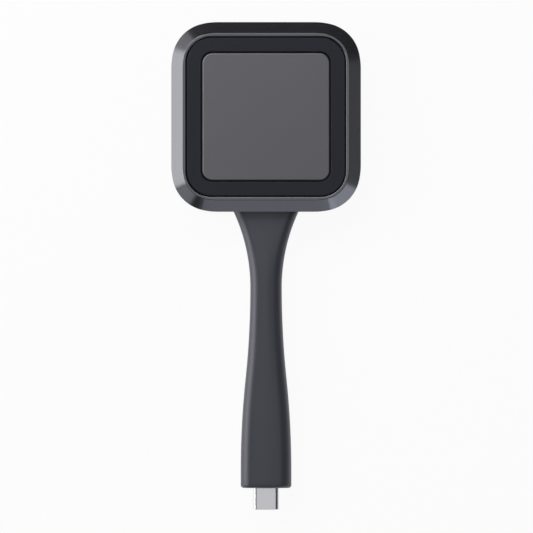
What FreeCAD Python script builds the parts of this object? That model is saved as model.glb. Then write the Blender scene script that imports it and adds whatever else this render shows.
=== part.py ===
import FreeCAD, Part
import itertools
import math
import os
import re

import Sketcher

# A wireless presentation dongle: a square push-button head, a flexible moulded neck and a
# reversible plug. It lies on its foot. X is to the right and Y towards the head's far side,
# as seen from above with the plug pointing at the viewer. Z points up out of the button.
# The origin is the middle of the foot's underside. All lengths are in millimetres.

SIZES = [
    # Head outline and levels
    ("head_side", 60.0, "width and depth of the square head"),
    ("head_height", 13.5, "table to the top of the lip"),
    ("parting_level", 8.2, "table to the joint between cover and bezel"),
    ("corner_long_radius", 22.1, "first and last arc of a head corner"),
    ("corner_tight_radius", 12.2, "middle arc of a head corner"),
    ("corner_turn", 13.0, "degrees turned by each long arc"),
    ("fit_gap", 0.1, "clearance between parts that slide together in assembly"),
    ("small_corner", 0.4, "corner of a small opening or rib"),
    # Bezel
    ("bevel_width", 3.65, "bevel round the head, seen from above"),
    ("bevel_drop", 3.05, "bevel round the head, from top to bottom"),
    ("bevel_edge_radius", 0.25, "rounded edge between the bevel and the lip"),
    ("lip_width", 1.05, "flat lip between the bevel and the opening"),
    ("lip_thickness", 1.2, "flat lip from top to underside"),
    ("lip_corner", 8.1, "corner of the opening inside the lip"),
    ("lip_edge_radius", 0.35, "rounded edge of the opening"),
    ("bezel_wall", 2.4, "wall under the ledge"),
    ("bezel_ledge", 1.7, "ledge that the inner frame is pushed against"),
    ("tongue_height", 1.0, "locating tongue below the joint"),
    ("tongue_thickness", 0.9, "locating tongue"),
    ("tongue_break", 27.0, "width of the break in the tongue above the neck"),
    # Rear cover and foot
    ("cover_wall", 1.8, "wall"),
    ("cover_floor", 1.4, "floor"),
    ("cover_edge_radius", 2.2, "rounded lower edge"),
    ("foot_side", 38.0, "width and depth of the foot pad"),
    ("foot_corner", 8.0, "corner of the foot pad"),
    ("foot_thickness", 1.0, "foot pad"),
    ("foot_recess", 0.4, "recess that holds the foot pad"),
    ("foot_edge_radius", 0.3, "rounded lower edge of the foot pad"),
    # Screws
    ("case_screw_inset", 7.6, "case screw from the side of the head"),
    ("case_screw_shank", 1.9, "case screw thread"),
    ("case_screw_head", 3.8, "case screw head"),
    ("case_screw_head_height", 1.3, "case screw head"),
    ("case_screw_tip", 0.3, "from the screw's tip to the top of its boss"),
    ("case_sink", 1.8, "counterbore of a case screw"),
    ("case_boss", 5.2, "cover boss of a case screw"),
    ("case_nut", 4.0, "bezel boss of a case screw"),
    ("case_nut_drop", 1.4, "bezel boss below the joint"),
    ("case_web", 2.4, "web that ties the bezel boss to its corner"),
    ("case_web_shift", 1.5, "web from its boss, along X and along Y"),
    ("drive_across", 1.5, "six-sided drive in a screw head, across its flats"),
    ("drive_depth", 0.8, "six-sided drive in a screw head"),
    ("board_screw_shank", 1.5, "board screw thread"),
    ("board_screw_head", 3.0, "board screw head"),
    ("board_screw_head_height", 0.9, "board screw head"),
    # Inner frame
    ("frame_gap", 1.0, "from the bezel wall to the inner frame"),
    ("deck_thickness", 1.2, "deck of the inner frame"),
    ("deck_standoff", 1.8, "board to the deck"),
    ("notch_gap", 0.6, "round a boss that the deck goes past"),
    ("post_diameter", 3.6, "post that a board screw bites"),
    ("post_inset_x", 3.5, "post from the board's side"),
    ("post_inset_y", 6.5, "post from the board's end"),
    ("window_length", 3.4, "light window in the deck"),
    ("window_width", 1.8, "light window in the deck"),
    ("cup_inside", 5.9, "spring cup"),
    ("cup_wall", 0.75, "spring cup"),
    ("cup_floor", 0.8, "spring cup"),
    ("cup_standoff", 0.4, "board to the bottom of a spring cup"),
    # Light ring, gasket and guide
    ("well_corner", 8.7, "corner of the well for the light ring"),
    ("ring_gap", 0.35, "gap between the lip and the light ring"),
    ("ring_band", 4.35, "visible width of the light ring"),
    ("ring_inner_corner", 3.6, "inner corner of the light ring"),
    ("ring_edge_radius", 0.15, "light ring's upper edges"),
    ("ring_flange_thickness", 0.6, "flange under the lip"),
    ("ring_flange_gap", 0.2, "flange to the bezel"),
    ("surface_drop", 0.1, "light ring and button below the lip"),
    ("gasket_thickness", 0.2, "gasket between flange and lip"),
    ("gasket_width", 0.6, "gasket"),
    ("guide_gap", 1.3, "light guide to the bezel"),
    ("guide_band", 2.6, "width of the light guide"),
    ("guide_corner", 10.0, "outer corner of the light guide"),
    ("guide_inner_corner", 4.6, "inner corner of the light guide"),
    # Button
    ("button_gap", 0.5, "groove between the light ring and the button"),
    ("button_corner", 3.2, "button corner"),
    ("button_edge_radius", 0.35, "button's upper edge"),
    ("cap_thickness", 1.2, "button cap"),
    ("travel", 0.6, "button travel"),
    ("carrier_inset", 0.2, "carrier inside the cap's edge"),
    ("catch_overlap", 0.9, "carrier flange under the light ring"),
    ("catch_gap", 0.1, "carrier flange to the light ring at rest"),
    ("flange_thickness", 1.0, "carrier flange"),
    ("flange_corner", 4.2, "corner of the carrier flange"),
    ("pin_diameter", 3.0, "guide pin"),
    ("pin_inset", 6.1, "guide pin from the side of the cap"),
    ("spring_outside", 5.4, "button spring"),
    ("spring_wire", 0.35, "button spring wire"),
    ("pusher_diameter", 5.0, "soft pusher under the carrier"),
    ("pusher_thickness", 0.35, "soft pusher under the carrier"),
    # Switch
    ("switch_side", 6.0, "switch housing"),
    ("switch_height", 2.4, "switch housing"),
    ("switch_base", 0.4, "floor of the switch housing"),
    ("switch_bore", 4.4, "well in the switch housing"),
    ("switch_cover_side", 5.6, "switch cover"),
    ("switch_cover_thickness", 0.2, "switch cover"),
    ("switch_room", 1.0, "from the switch to the deck's opening"),
    ("plunger_diameter", 3.0, "switch plunger"),
    ("plunger_collar", 3.8, "collar that the switch cover retains"),
    ("plunger_collar_height", 0.6, "collar of the plunger"),
    ("plunger_foot", 0.3, "plunger below its collar"),
    ("touch_gap", 0.05, "plunger to the soft pusher"),
    ("dome_rise", 0.35, "snap dome"),
    ("dome_thickness", 0.1, "snap dome"),
    ("dome_diameter", 4.0, "snap dome"),
    # Board
    ("board_margin", 6.5, "board from the side of the head"),
    ("board_corner", 12.0, "board corner"),
    ("board_thickness", 1.0, "board"),
    ("board_notch_width", 19.0, "notch for the cable clamp"),
    ("board_notch_reach", 7.9, "notch for the cable clamp, inwards from the clamp's middle"),
    ("board_notch_corner", 1.5, "notch for the cable clamp"),
    ("peg_diameter", 3.0, "peg of the cover that the board rests on"),
    ("peg_place", 5.7, "board peg from the middle of the head, along Y"),
    ("light_length", 2.0, "light emitter"),
    ("light_width", 1.2, "light emitter"),
    ("light_height", 0.7, "light emitter"),
    ("light_spread", 12.0, "light emitter from the middle of its side"),
    ("light_inset", 0.9, "light emitter from the edge of the board"),
    ("radio_width", 12.0, "radio module"),
    ("radio_depth", 10.0, "radio module"),
    ("radio_base", 0.8, "radio module's own board"),
    ("radio_can_height", 0.8, "radio module's cover"),
    ("radio_can_inset", 0.7, "radio module's cover inside its board"),
    ("radio_inset", 5.0, "radio module from the board's far edge"),
    ("antenna_length", 5.0, "chip antenna"),
    ("antenna_width", 1.6, "chip antenna"),
    ("antenna_height", 1.1, "chip antenna"),
    ("antenna_gap", 2.0, "between the two chip antennas"),
    ("supply_chip", 4.0, "supply chip"),
    ("supply_chip_height", 0.9, "supply chip"),
    ("supply_place_x", 13.5, "supply chip left of the middle"),
    ("supply_place_y", 1.5, "supply chip from the middle"),
    ("storage_chip_width", 5.0, "storage chip"),
    ("storage_chip_depth", 6.0, "storage chip"),
    ("storage_chip_height", 0.8, "storage chip"),
    ("storage_place_x", 12.5, "storage chip right of the middle"),
    ("crystal_width", 3.2, "clock crystal"),
    ("crystal_depth", 2.5, "clock crystal"),
    ("crystal_height", 0.7, "clock crystal"),
    ("crystal_place_x", 8.0, "clock crystal right of the middle"),
    ("crystal_place_y", 7.5, "clock crystal from the middle, towards the neck"),
    ("coil_side", 3.0, "supply coil"),
    ("coil_height", 1.2, "supply coil"),
    ("coil_place", 18.6, "supply coils left of the middle"),
    ("coil_spread", 4.4, "supply coil from the supply chip's line"),
    ("capacitor_width", 0.8, "capacitor"),
    ("capacitor_length", 1.6, "capacitor"),
    ("capacitor_pitch_x", 2.4, "capacitor rows"),
    ("capacitor_pitch_y", 3.2, "capacitors in a row"),
    ("capacitor_place", 9.8, "middle of the capacitors, left of the middle"),
    # Underside of the board, cooled through the cover
    ("can_width", 26.0, "shield can"),
    ("can_depth", 20.0, "shield can"),
    ("can_height", 1.8, "shield can"),
    ("can_wall", 0.2, "shield can and plug shield"),
    ("can_shift", 4.0, "shield can from the middle of the board"),
    ("chip_large", 12.0, "system chip"),
    ("chip_large_height", 1.2, "system chip"),
    ("chip_memory_width", 7.5, "memory chip"),
    ("chip_memory_depth", 12.0, "memory chip"),
    ("chip_memory_height", 1.0, "memory chip"),
    ("thermal_pad_thickness", 1.0, "thermal pad"),
    ("thermal_pad_inset", 2.0, "thermal pad inside the shield can's outline"),
    ("chip_gap", 1.0, "between the system chip and the memory chip"),
    ("spreader_thickness", 0.8, "heat spreader plate"),
    ("spreader_rim", 3.0, "heat spreader beyond the shield can"),
    # Cable, its clamp and its connector
    ("cable_diameter", 3.6, "cable"),
    ("cable_free_end", 17.4, "cable's end from the middle of the head"),
    ("clamp_place", 20.5, "clamp from the middle of the head"),
    ("clamp_length", 4.0, "clamp along the cable"),
    ("clamp_span", 5.2, "clamp screw from the cable's axis"),
    ("clamp_ear", 5.0, "width of a clamp ear"),
    ("clamp_ear_height", 1.2, "clamp ear"),
    ("clamp_wall", 0.8, "clamp above the cable"),
    ("clamp_boss", 4.0, "boss under a clamp ear"),
    ("clamp_boss_height", 2.4, "boss under a clamp ear"),
    ("clamp_screw_shank", 1.6, "clamp screw thread"),
    ("clamp_screw_head", 3.2, "clamp screw head"),
    ("clamp_screw_head_height", 1.2, "clamp screw head"),
    ("wire_diameter", 0.55, "wire inside the cable"),
    ("wire_pitch", 1.25, "wires at the connector"),
    ("wire_bundle", 1.0, "wires from the cable's axis"),
    ("wire_lead", 0.5, "straight end of a wire"),
    ("socket_width", 9.2, "cable socket on the board"),
    ("socket_depth", 4.4, "cable socket on the board"),
    ("socket_height", 1.5, "cable socket on the board"),
    ("socket_wall", 0.3, "cable socket on the board"),
    ("socket_place", 8.8, "mouth of the cable socket from the middle of the head"),
    ("crimp_reach", 2.2, "cable connector outside its socket"),
    # Neck
    ("neck_length", 87.6, "neck from the head's wall to its end at the plug"),
    ("root_level", 5.1, "middle of the neck at the head"),
    ("root_thickness", 5.6, "neck at the head"),
    ("waist_level", 5.6, "middle of the neck at its waist"),
    ("waist_thickness", 6.0, "neck at its waist"),
    ("waist_width", 10.0, "neck at its waist"),
    ("waist_place", 24.0, "waist from the head's wall"),
    ("flare_radius", 57.0, "hollow curve from the head to the waist"),
    ("boot_width", 16.1, "neck at the plug"),
    ("boot_thickness", 7.0, "neck at the plug"),
    ("boot_straight", 5.6, "straight end of the neck"),
    ("boot_edge_radius", 0.95, "rounded end of the neck"),
    ("bend_head_place", 22.0, "bend next to the head from the head's wall"),
    ("sway_place", 36.0, "sideways bend from the head's wall"),
    ("bend_plug_place", 50.0, "bend next to the plug from the head's wall"),
    ("anchor_margin", 2.0, "anchor plate beyond the neck, inside the cover"),
    ("anchor_thickness", 2.4, "anchor plate inside the cover"),
    ("anchor_corner", 0.8, "upright corner of the anchor plate"),
    # Plug
    ("plug_level", 5.4, "axis of the plug and the cable above the table"),
    ("shell_width", 8.25, "plug shell"),
    ("shell_height", 2.4, "plug shell"),
    ("shell_wall", 0.3, "plug shell"),
    ("shell_reach", 6.85, "plug shell outside the neck"),
    ("shell_seat", 6.4, "plug shell inside the neck"),
    ("slot_overrun", 1.0, "cut for the shell past the end of the boot"),
    ("tongue_cavity_width", 6.9, "cavity for the socket's tongue"),
    ("tongue_cavity_height", 1.05, "cavity for the socket's tongue"),
    ("tongue_cavity_depth", 6.2, "cavity for the socket's tongue"),
    ("insulator_recess", 0.15, "insulator behind the mouth of the shell"),
    ("contact_pitch", 0.5, "contact spacing"),
    ("contact_width", 0.25, "contact"),
    ("contact_thickness", 0.15, "contact"),
    ("contact_recess", 0.9, "contacts behind the mouth of the shell"),
    ("latch_width", 0.7, "side latch"),
    ("latch_thickness", 0.2, "side latch"),
    ("card_width", 7.4, "paddle card in the plug"),
    ("card_thickness", 0.8, "paddle card in the plug"),
    ("card_length", 10.0, "paddle card in the plug"),
    ("card_chip", 3.2, "chip on the paddle card"),
    ("card_chip_height", 0.7, "chip on the paddle card"),
    ("shield_width", 9.6, "shield round the paddle card"),
    ("shield_height", 4.2, "shield round the paddle card"),
    ("crimp_length", 4.0, "ring that crimps the cable's braid"),
    ("crimp_wall", 0.3, "ring that crimps the cable's braid"),
]
NAMES = {name for name, value, meaning in SIZES}

doc = FreeCAD.newDocument("presentation_dongle")
sheet = doc.addObject("Spreadsheet::Sheet", "Sizes")
for row, (name, value, meaning) in enumerate(SIZES, start=1):
    sheet.set(f"A{row}", meaning)
    sheet.set(f"B{row}", str(value))
    sheet.setAlias(f"B{row}", name)
doc.recompute()


def bound(text):
    """The expression with each named size read from the sheet."""
    def qualified(word):
        return "Sizes." + word.group() if word.group() in NAMES else word.group()

    return re.sub(r"[a-z][a-z_]*", qualified, text)


def size(text):
    """The present value of an expression of named sizes."""
    return float(sheet.evalExpression(bound(text)))


# Levels and places worked out from the named sizes, as expressions
HALF = "(head_side / 2)"
COVER_LOW = "(foot_thickness - foot_recess)"
FLOOR_TOP = f"({COVER_LOW} + cover_floor)"
CASE_PLACE = f"({HALF} - case_screw_inset)"
CASE_SEAT = f"({COVER_LOW} + case_sink)"
CASE_SPLIT = "(parting_level - case_nut_drop)"
BOARD_LOW = f"({FLOOR_TOP} + spreader_thickness + thermal_pad_thickness + can_height)"
BOARD_TOP = f"({BOARD_LOW} + board_thickness)"
BOARD_HALF = f"({HALF} - board_margin)"
DECK_LOW = f"({BOARD_TOP} + deck_standoff)"
DECK_TOP = f"({DECK_LOW} + deck_thickness)"
POST_X = f"({BOARD_HALF} - post_inset_x)"
POST_Y = f"({BOARD_HALF} - post_inset_y)"
LIGHT_PLACE = f"({BOARD_HALF} - light_inset)"
LIP_LOW = "(head_height - lip_thickness)"
LIP_SIDE = "(head_side - 2 * bevel_width - 2 * lip_width)"
WELL_SIDE = "(head_side - 2 * bezel_wall - 2 * bezel_ledge)"
WELL_CORNER = "well_corner"
RING_SIDE = f"({LIP_SIDE} - 2 * ring_gap)"
RING_CORNER = "(lip_corner - ring_gap)"
RING_HOLE = f"({RING_SIDE} - 2 * ring_band)"
RING_LOW = f"({LIP_LOW} - gasket_thickness - ring_flange_thickness)"
RING_FLANGE = f"({WELL_SIDE} - 2 * ring_flange_gap)"
RING_FLANGE_CORNER = f"({WELL_CORNER} - ring_flange_gap)"
GUIDE_SIDE = f"({WELL_SIDE} - 2 * guide_gap)"
SURFACE = "(head_height - surface_drop)"
BUTTON_SIDE = f"({RING_HOLE} - 2 * button_gap)"
CAP_LOW = f"({SURFACE} - cap_thickness)"
CARRIER_TOP = f"({RING_LOW} - catch_gap)"
CARRIER_LOW = f"({CARRIER_TOP} - flange_thickness)"
FLANGE_SIDE = f"({RING_HOLE} + 2 * catch_overlap)"
PIN_PLACE = f"({BUTTON_SIDE} / 2 - pin_inset)"
CUP_LOW = f"({BOARD_TOP} + cup_standoff)"
CUP_FLOOR_TOP = f"({CUP_LOW} + cup_floor)"
SWITCH_TOP = f"({BOARD_TOP} + switch_height)"
PLUNGER_TOP = f"({CARRIER_LOW} - pusher_thickness - touch_gap)"
COLLAR_TOP = f"({SWITCH_TOP} - fit_gap)"
COLLAR_LOW = f"({COLLAR_TOP} - plunger_collar_height)"
WALL_INSIDE = f"({HALF} - cover_wall)"
PLUG_END = f"({HALF} + neck_length + shell_reach)"
BOOT_END = f"({HALF} + neck_length)"
SHELL_BACK = f"({BOOT_END} - shell_seat)"
CARD_BACK = f"({SHELL_BACK} - card_length)"
CORNERS = [(1, 1), (-1, 1), (-1, -1), (1, -1)]
WIRE_COUNT = 6
CONTACTS_IN_ROW = 12
ROOT_STEPS = 6
BEND_STEPS = 4
SWELL_STEPS = 8
CLOSE = 1e-4


# Helpers for sketches and solids

def times(sign, text):
    """An expression, turned to its negative where the sign is -1."""
    return text if sign > 0 else f"-({text})"


def new_body(label):
    """An empty body whose name is the sub-part's name."""
    return doc.addObject("PartDesign::Body", label)


def sketch_at(body, level):
    """A level sketch at a height above the table, on the body's own base plane."""
    sketch = body.newObject("Sketcher::SketchObject", body.Name + "_outline")
    plane = [item for item in body.Origin.OriginFeatures if item.Role == "XY_Plane"][0]
    sketch.AttachmentSupport = (plane, [""])
    sketch.MapMode = "FlatFace"
    sketch.setExpression("AttachmentOffset.Base.z", bound(level))
    return sketch


def dimension(sketch, constraint, text):
    """A dimension of the sketch, bound to an expression of named sizes."""
    index = sketch.addConstraint(constraint)
    sketch.setExpression(f"Constraints[{index}]", bound(text))


def hold_point(sketch, geometry, end, place):
    """Distances from the origin that hold one point of a sketch."""
    for kind, axis, text in (("DistanceX", -2, place[0]), ("DistanceY", -1, place[1])):
        if abs(size(text)) < CLOSE:
            sketch.addConstraint(Sketcher.Constraint("PointOnObject", geometry, end, axis))
        else:
            dimension(sketch, Sketcher.Constraint(kind, -1, 1, geometry, end, size(text)), text)


def add_rounded(sketch, width, depth, radius, middle=("0", "0")):
    """A rectangle with equal rounded corners round a middle point."""
    half_x, half_y, corner = size(width) / 2, size(depth) / 2, size(radius)
    centre = FreeCAD.Vector(size(middle[0]), size(middle[1]), 0)
    first = sketch.GeometryCount
    for turn in range(4):
        along, across = (half_x, half_y) if turn % 2 == 0 else (half_y, half_x)
        quarter = FreeCAD.Rotation(FreeCAD.Vector(0, 0, 1), 90 * turn)
        low = centre + quarter.multVec(FreeCAD.Vector(along, -(across - corner), 0))
        high = centre + quarter.multVec(FreeCAD.Vector(along, across - corner, 0))
        hub = centre + quarter.multVec(FreeCAD.Vector(along - corner, across - corner, 0))
        circle = Part.Circle(hub, FreeCAD.Vector(0, 0, 1), corner)
        sketch.addGeometry(Part.LineSegment(low, high))
        sketch.addGeometry(Part.ArcOfCircle(circle, math.pi / 2 * turn, math.pi / 2 * (turn + 1)))
    for index in range(8):
        following = first + (index + 1) % 8
        sketch.addConstraint(Sketcher.Constraint("Tangent", first + index, 2, following, 1))
    for index, kind in ((0, "Vertical"), (2, "Horizontal"), (4, "Vertical"), (6, "Horizontal")):
        sketch.addConstraint(Sketcher.Constraint(kind, first + index))
    for index in (3, 5, 7):
        sketch.addConstraint(Sketcher.Constraint("Equal", first + 1, first + index))
    dimension(sketch, Sketcher.Constraint("Radius", first + 1, corner), radius)
    sides = (
        (0, "DistanceX", f"{middle[0]} + ({width}) / 2"),
        (2, "DistanceY", f"{middle[1]} + ({depth}) / 2"),
        (4, "DistanceX", f"{middle[0]} - ({width}) / 2"),
        (6, "DistanceY", f"{middle[1]} - ({depth}) / 2"),
    )
    for index, kind, text in sides:
        dimension(sketch, Sketcher.Constraint(kind, -1, 1, first + index, 1, size(text)), text)


def add_circle(sketch, place, diameter):
    """A circle round a point given by its distances from the origin."""
    hub = FreeCAD.Vector(size(place[0]), size(place[1]), 0)
    index = sketch.addGeometry(Part.Circle(hub, FreeCAD.Vector(0, 0, 1), size(diameter) / 2))
    hold_point(sketch, index, 3, place)
    dimension(sketch, Sketcher.Constraint("Diameter", index, size(diameter)), diameter)


def add_head_outline(sketch, inset):
    """The head's outline moved inwards: each corner is a long arc, a tight arc and a long arc."""
    half = size(f"{HALF} - ({inset})")
    long_radius = size(f"corner_long_radius - ({inset})")
    tight_radius = size(f"corner_tight_radius - ({inset})")
    turn = math.radians(size("corner_turn"))
    straight = half - long_radius * (1 - math.cos(turn) + math.sin(turn))
    straight -= tight_radius * (math.cos(turn) - math.sin(turn))
    tight_hub = half - long_radius + (long_radius - tight_radius) * math.cos(turn)
    for quarter in range(4):
        start = quarter * math.pi / 2
        rotation = FreeCAD.Rotation(FreeCAD.Vector(0, 0, 1), 90 * quarter)

        def arc(hub_x, hub_y, radius, begin, end):
            hub = rotation.multVec(FreeCAD.Vector(hub_x, hub_y, 0))
            circle = Part.Circle(hub, FreeCAD.Vector(0, 0, 1), radius)
            sketch.addGeometry(Part.ArcOfCircle(circle, start + begin, start + end))

        low = rotation.multVec(FreeCAD.Vector(half, -straight, 0))
        high = rotation.multVec(FreeCAD.Vector(half, straight, 0))
        sketch.addGeometry(Part.LineSegment(low, high))
        arc(half - long_radius, straight, long_radius, 0, turn)
        arc(tight_hub, tight_hub, tight_radius, turn, math.pi / 2 - turn)
        arc(straight, half - long_radius, long_radius, math.pi / 2 - turn, math.pi / 2)
    for index in range(16):
        sketch.addConstraint(Sketcher.Constraint("Tangent", index, 2, (index + 1) % 16, 1))
    for index, kind in ((0, "Vertical"), (4, "Horizontal"), (8, "Vertical"), (12, "Horizontal")):
        sketch.addConstraint(Sketcher.Constraint(kind, index))
    long_arcs = (1, 3, 5, 7, 9, 11, 13, 15)
    for index in long_arcs[1:]:
        sketch.addConstraint(Sketcher.Constraint("Equal", 1, index))
    for index in (6, 10, 14):
        sketch.addConstraint(Sketcher.Constraint("Equal", 2, index))
    sketch.addConstraint(Sketcher.Constraint("Symmetric", 0, 1, 8, 1, -1, 1))
    edge = f"{HALF} - ({inset})"
    dimension(sketch, Sketcher.Constraint("DistanceX", -1, 1, 0, 1, half), edge)
    dimension(sketch, Sketcher.Constraint("DistanceY", -1, 1, 4, 1, half), edge)
    dimension(sketch, Sketcher.Constraint("Radius", 1, long_radius), f"corner_long_radius - ({inset})")
    dimension(sketch, Sketcher.Constraint("Radius", 2, tight_radius), f"corner_tight_radius - ({inset})")
    for index in long_arcs:
        dimension(sketch, Sketcher.Constraint("Angle", index, turn), "corner_turn")


def pad(body, sketch, height):
    """Material from the sketch upwards."""
    feature = body.newObject("PartDesign::Pad", body.Name + "_pad")
    feature.Profile = sketch
    feature.setExpression("Length", bound(height))
    sketch.Visibility = False
    doc.recompute()
    return feature


def pocket(body, sketch, depth):
    """A cut from the sketch downwards, which has to take material away."""
    before = body.Shape.Volume
    feature = body.newObject("PartDesign::Pocket", body.Name + "_pocket")
    feature.Profile = sketch
    feature.setExpression("Length", bound(depth))
    sketch.Visibility = False
    doc.recompute()
    if not body.Shape.Volume < before - CLOSE:
        raise RuntimeError(f"{feature.Name} cuts nothing")
    return feature


def level_edges(shape, level, half=None):
    """Names of the edges that lie at a height, and reach no further than half along X and Y."""
    height = size(level)
    reach = math.inf if half is None else size(half) + CLOSE

    def lies_there(box):
        flat = abs(box.ZMin - height) < CLOSE and abs(box.ZMax - height) < CLOSE
        return flat and max(abs(box.XMin), abs(box.XMax), abs(box.YMin), abs(box.YMax)) < reach

    return [f"Edge{index}" for index, edge in enumerate(shape.Edges, start=1) if lies_there(edge.BoundBox)]


def dress(body, kind, names, amount):
    """A fillet or a chamfer on named edges of the body's last feature."""
    base = body.Tip
    feature = body.newObject("PartDesign::" + kind, body.Name + "_" + kind.lower())
    feature.Base = (base, names)
    feature.setExpression("Radius" if kind == "Fillet" else "Size", bound(amount))
    doc.recompute()
    return feature


def place(item, x, y, z):
    """The item's position, bound to expressions."""
    for axis, text in (("x", x), ("y", y), ("z", z)):
        item.setExpression("Placement.Base." + axis, bound(text))


def block(label, width, depth, height, middle, low):
    """A box round a middle point, standing on a level."""
    item = doc.addObject("Part::Box", label)
    item.setExpression("Length", bound(width))
    item.setExpression("Width", bound(depth))
    item.setExpression("Height", bound(height))
    place(item, f"{middle[0]} - ({width}) / 2", f"{middle[1]} - ({depth}) / 2", low)
    return item


def rod(label, diameter, length, base, axis="Z"):
    """A cylinder from a base point, along Z or towards the plug."""
    item = doc.addObject("Part::Cylinder", label)
    item.setExpression("Radius", bound(f"({diameter}) / 2"))
    item.setExpression("Height", bound(length))
    if axis == "towards plug":
        item.Placement.Rotation = FreeCAD.Rotation(FreeCAD.Vector(1, 0, 0), 90)
    place(item, *base)
    return item


def cut(label, base, tool):
    """The base with the tool taken away."""
    item = doc.addObject("Part::Cut", label)
    item.Base = base
    item.Tool = tool
    return item


def joined(label, members):
    """Solids joined into one."""
    item = doc.addObject("Part::MultiFuse", label)
    item.Shapes = members
    return item


def group(label, members):
    """Like pieces that share one node, as separate solids."""
    item = doc.addObject("Part::Compound", label)
    item.Links = members
    return item


def feature(label, shape):
    """A solid that comes from formulas, which read the named sizes."""
    item = doc.addObject("Part::Feature", label)
    item.Shape = shape
    item.Placement = FreeCAD.Placement()
    return item


# Case: rear cover, foot pad, bezel and screws

def neck_hole(body, clearance):
    """The neck's passage through the far end of the cover, cut as a long rounded slot."""
    sketch = body.newObject("Sketcher::SketchObject", body.Name + "_passage")
    plane = [item for item in body.Origin.OriginFeatures if item.Role == "XZ_Plane"][0]
    sketch.AttachmentSupport = (plane, [""])
    sketch.MapMode = "FlatFace"
    sketch.setExpression("AttachmentOffset.Base.z", bound(f"{HALF} - cover_wall - fit_gap"))
    width = f"(2 * ({neck_half_width_text('0')}) + 2 * ({clearance}))"
    height = f"(root_thickness + 2 * ({clearance}))"
    add_rounded(sketch, width, height, f"{height} / 2 - fit_gap / 10", ("0", "root_level"))
    before = body.Shape.Volume
    passage = body.newObject("PartDesign::Pocket", body.Name + "_pocket")
    passage.Profile = sketch
    passage.Reversed = True
    passage.setExpression("Length", bound("cover_wall + 2 * fit_gap"))
    doc.recompute()
    if not body.Shape.Volume < before - CLOSE:
        raise RuntimeError("the neck's passage cuts nothing")


def neck_half_width_text(run):
    """Half the neck's width on its hollow curve, at a run from the head's wall."""
    return f"waist_width / 2 + flare_radius - sqrt(flare_radius ^ 2 - (waist_place - {run}) ^ 2)"


def rear_cover():
    """A tray with a rounded lower edge, screw bosses, board pegs and cable supports."""
    body = new_body("rear_cover")
    outline = sketch_at(body, COVER_LOW)
    add_head_outline(outline, "0")
    pad(body, outline, f"parting_level - {COVER_LOW}")
    dress(body, "Fillet", level_edges(body.Shape, COVER_LOW), "cover_edge_radius")
    inside = sketch_at(body, "parting_level")
    add_head_outline(inside, "cover_wall")
    pocket(body, inside, f"parting_level - {FLOOR_TOP}")
    neck_hole(body, "fit_gap / 2")
    bosses = sketch_at(body, FLOOR_TOP)
    for x, y in CORNERS:
        add_circle(bosses, (times(x, CASE_PLACE), times(y, CASE_PLACE)), "case_boss")
    pad(body, bosses, f"{CASE_SPLIT} - {FLOOR_TOP}")
    bores = sketch_at(body, CASE_SPLIT)
    for x, y in CORNERS:
        add_circle(bores, (times(x, CASE_PLACE), times(y, CASE_PLACE)), "case_screw_shank + 2 * fit_gap")
    pocket(body, bores, f"{CASE_SPLIT} - {COVER_LOW}")
    sinks = sketch_at(body, CASE_SEAT)
    for x, y in CORNERS:
        add_circle(sinks, (times(x, CASE_PLACE), times(y, CASE_PLACE)), "case_screw_head + 4 * fit_gap")
    pocket(body, sinks, "case_sink")
    pegs = sketch_at(body, FLOOR_TOP)
    for x, y in CORNERS:
        add_circle(pegs, (times(x, POST_X), times(y, "peg_place")), "peg_diameter")
    pad(body, pegs, f"{BOARD_LOW} - {FLOOR_TOP}")
    ears = sketch_at(body, FLOOR_TOP)
    for x in (1, -1):
        add_circle(ears, (times(x, "clamp_span"), "-clamp_place"), "clamp_boss")
    pad(body, ears, "clamp_boss_height")
    pilots = sketch_at(body, f"{FLOOR_TOP} + clamp_boss_height")
    for x in (1, -1):
        add_circle(pilots, (times(x, "clamp_span"), "-clamp_place"), "clamp_screw_shank + fit_gap")
    pocket(body, pilots, "clamp_boss_height - 2 * fit_gap")
    saddle = sketch_at(body, FLOOR_TOP)
    add_rounded(saddle, "cable_diameter", "clamp_length", "small_corner", ("0", "-clamp_place"))
    pad(body, saddle, f"plug_level - cable_diameter / 2 - {FLOOR_TOP}")
    recess = sketch_at(body, "foot_thickness")
    foot_seat = "foot_side + 2 * fit_gap"
    add_rounded(recess, foot_seat, foot_seat, "foot_corner + fit_gap")
    pocket(body, recess, "foot_recess")


def foot_pad():
    """A soft pad in its recess, proud of the cover."""
    body = new_body("foot_pad")
    outline = sketch_at(body, "0")
    add_rounded(outline, "foot_side", "foot_side", "foot_corner")
    pad(body, outline, "foot_thickness")
    dress(body, "Fillet", level_edges(body.Shape, "0"), "foot_edge_radius")


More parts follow.
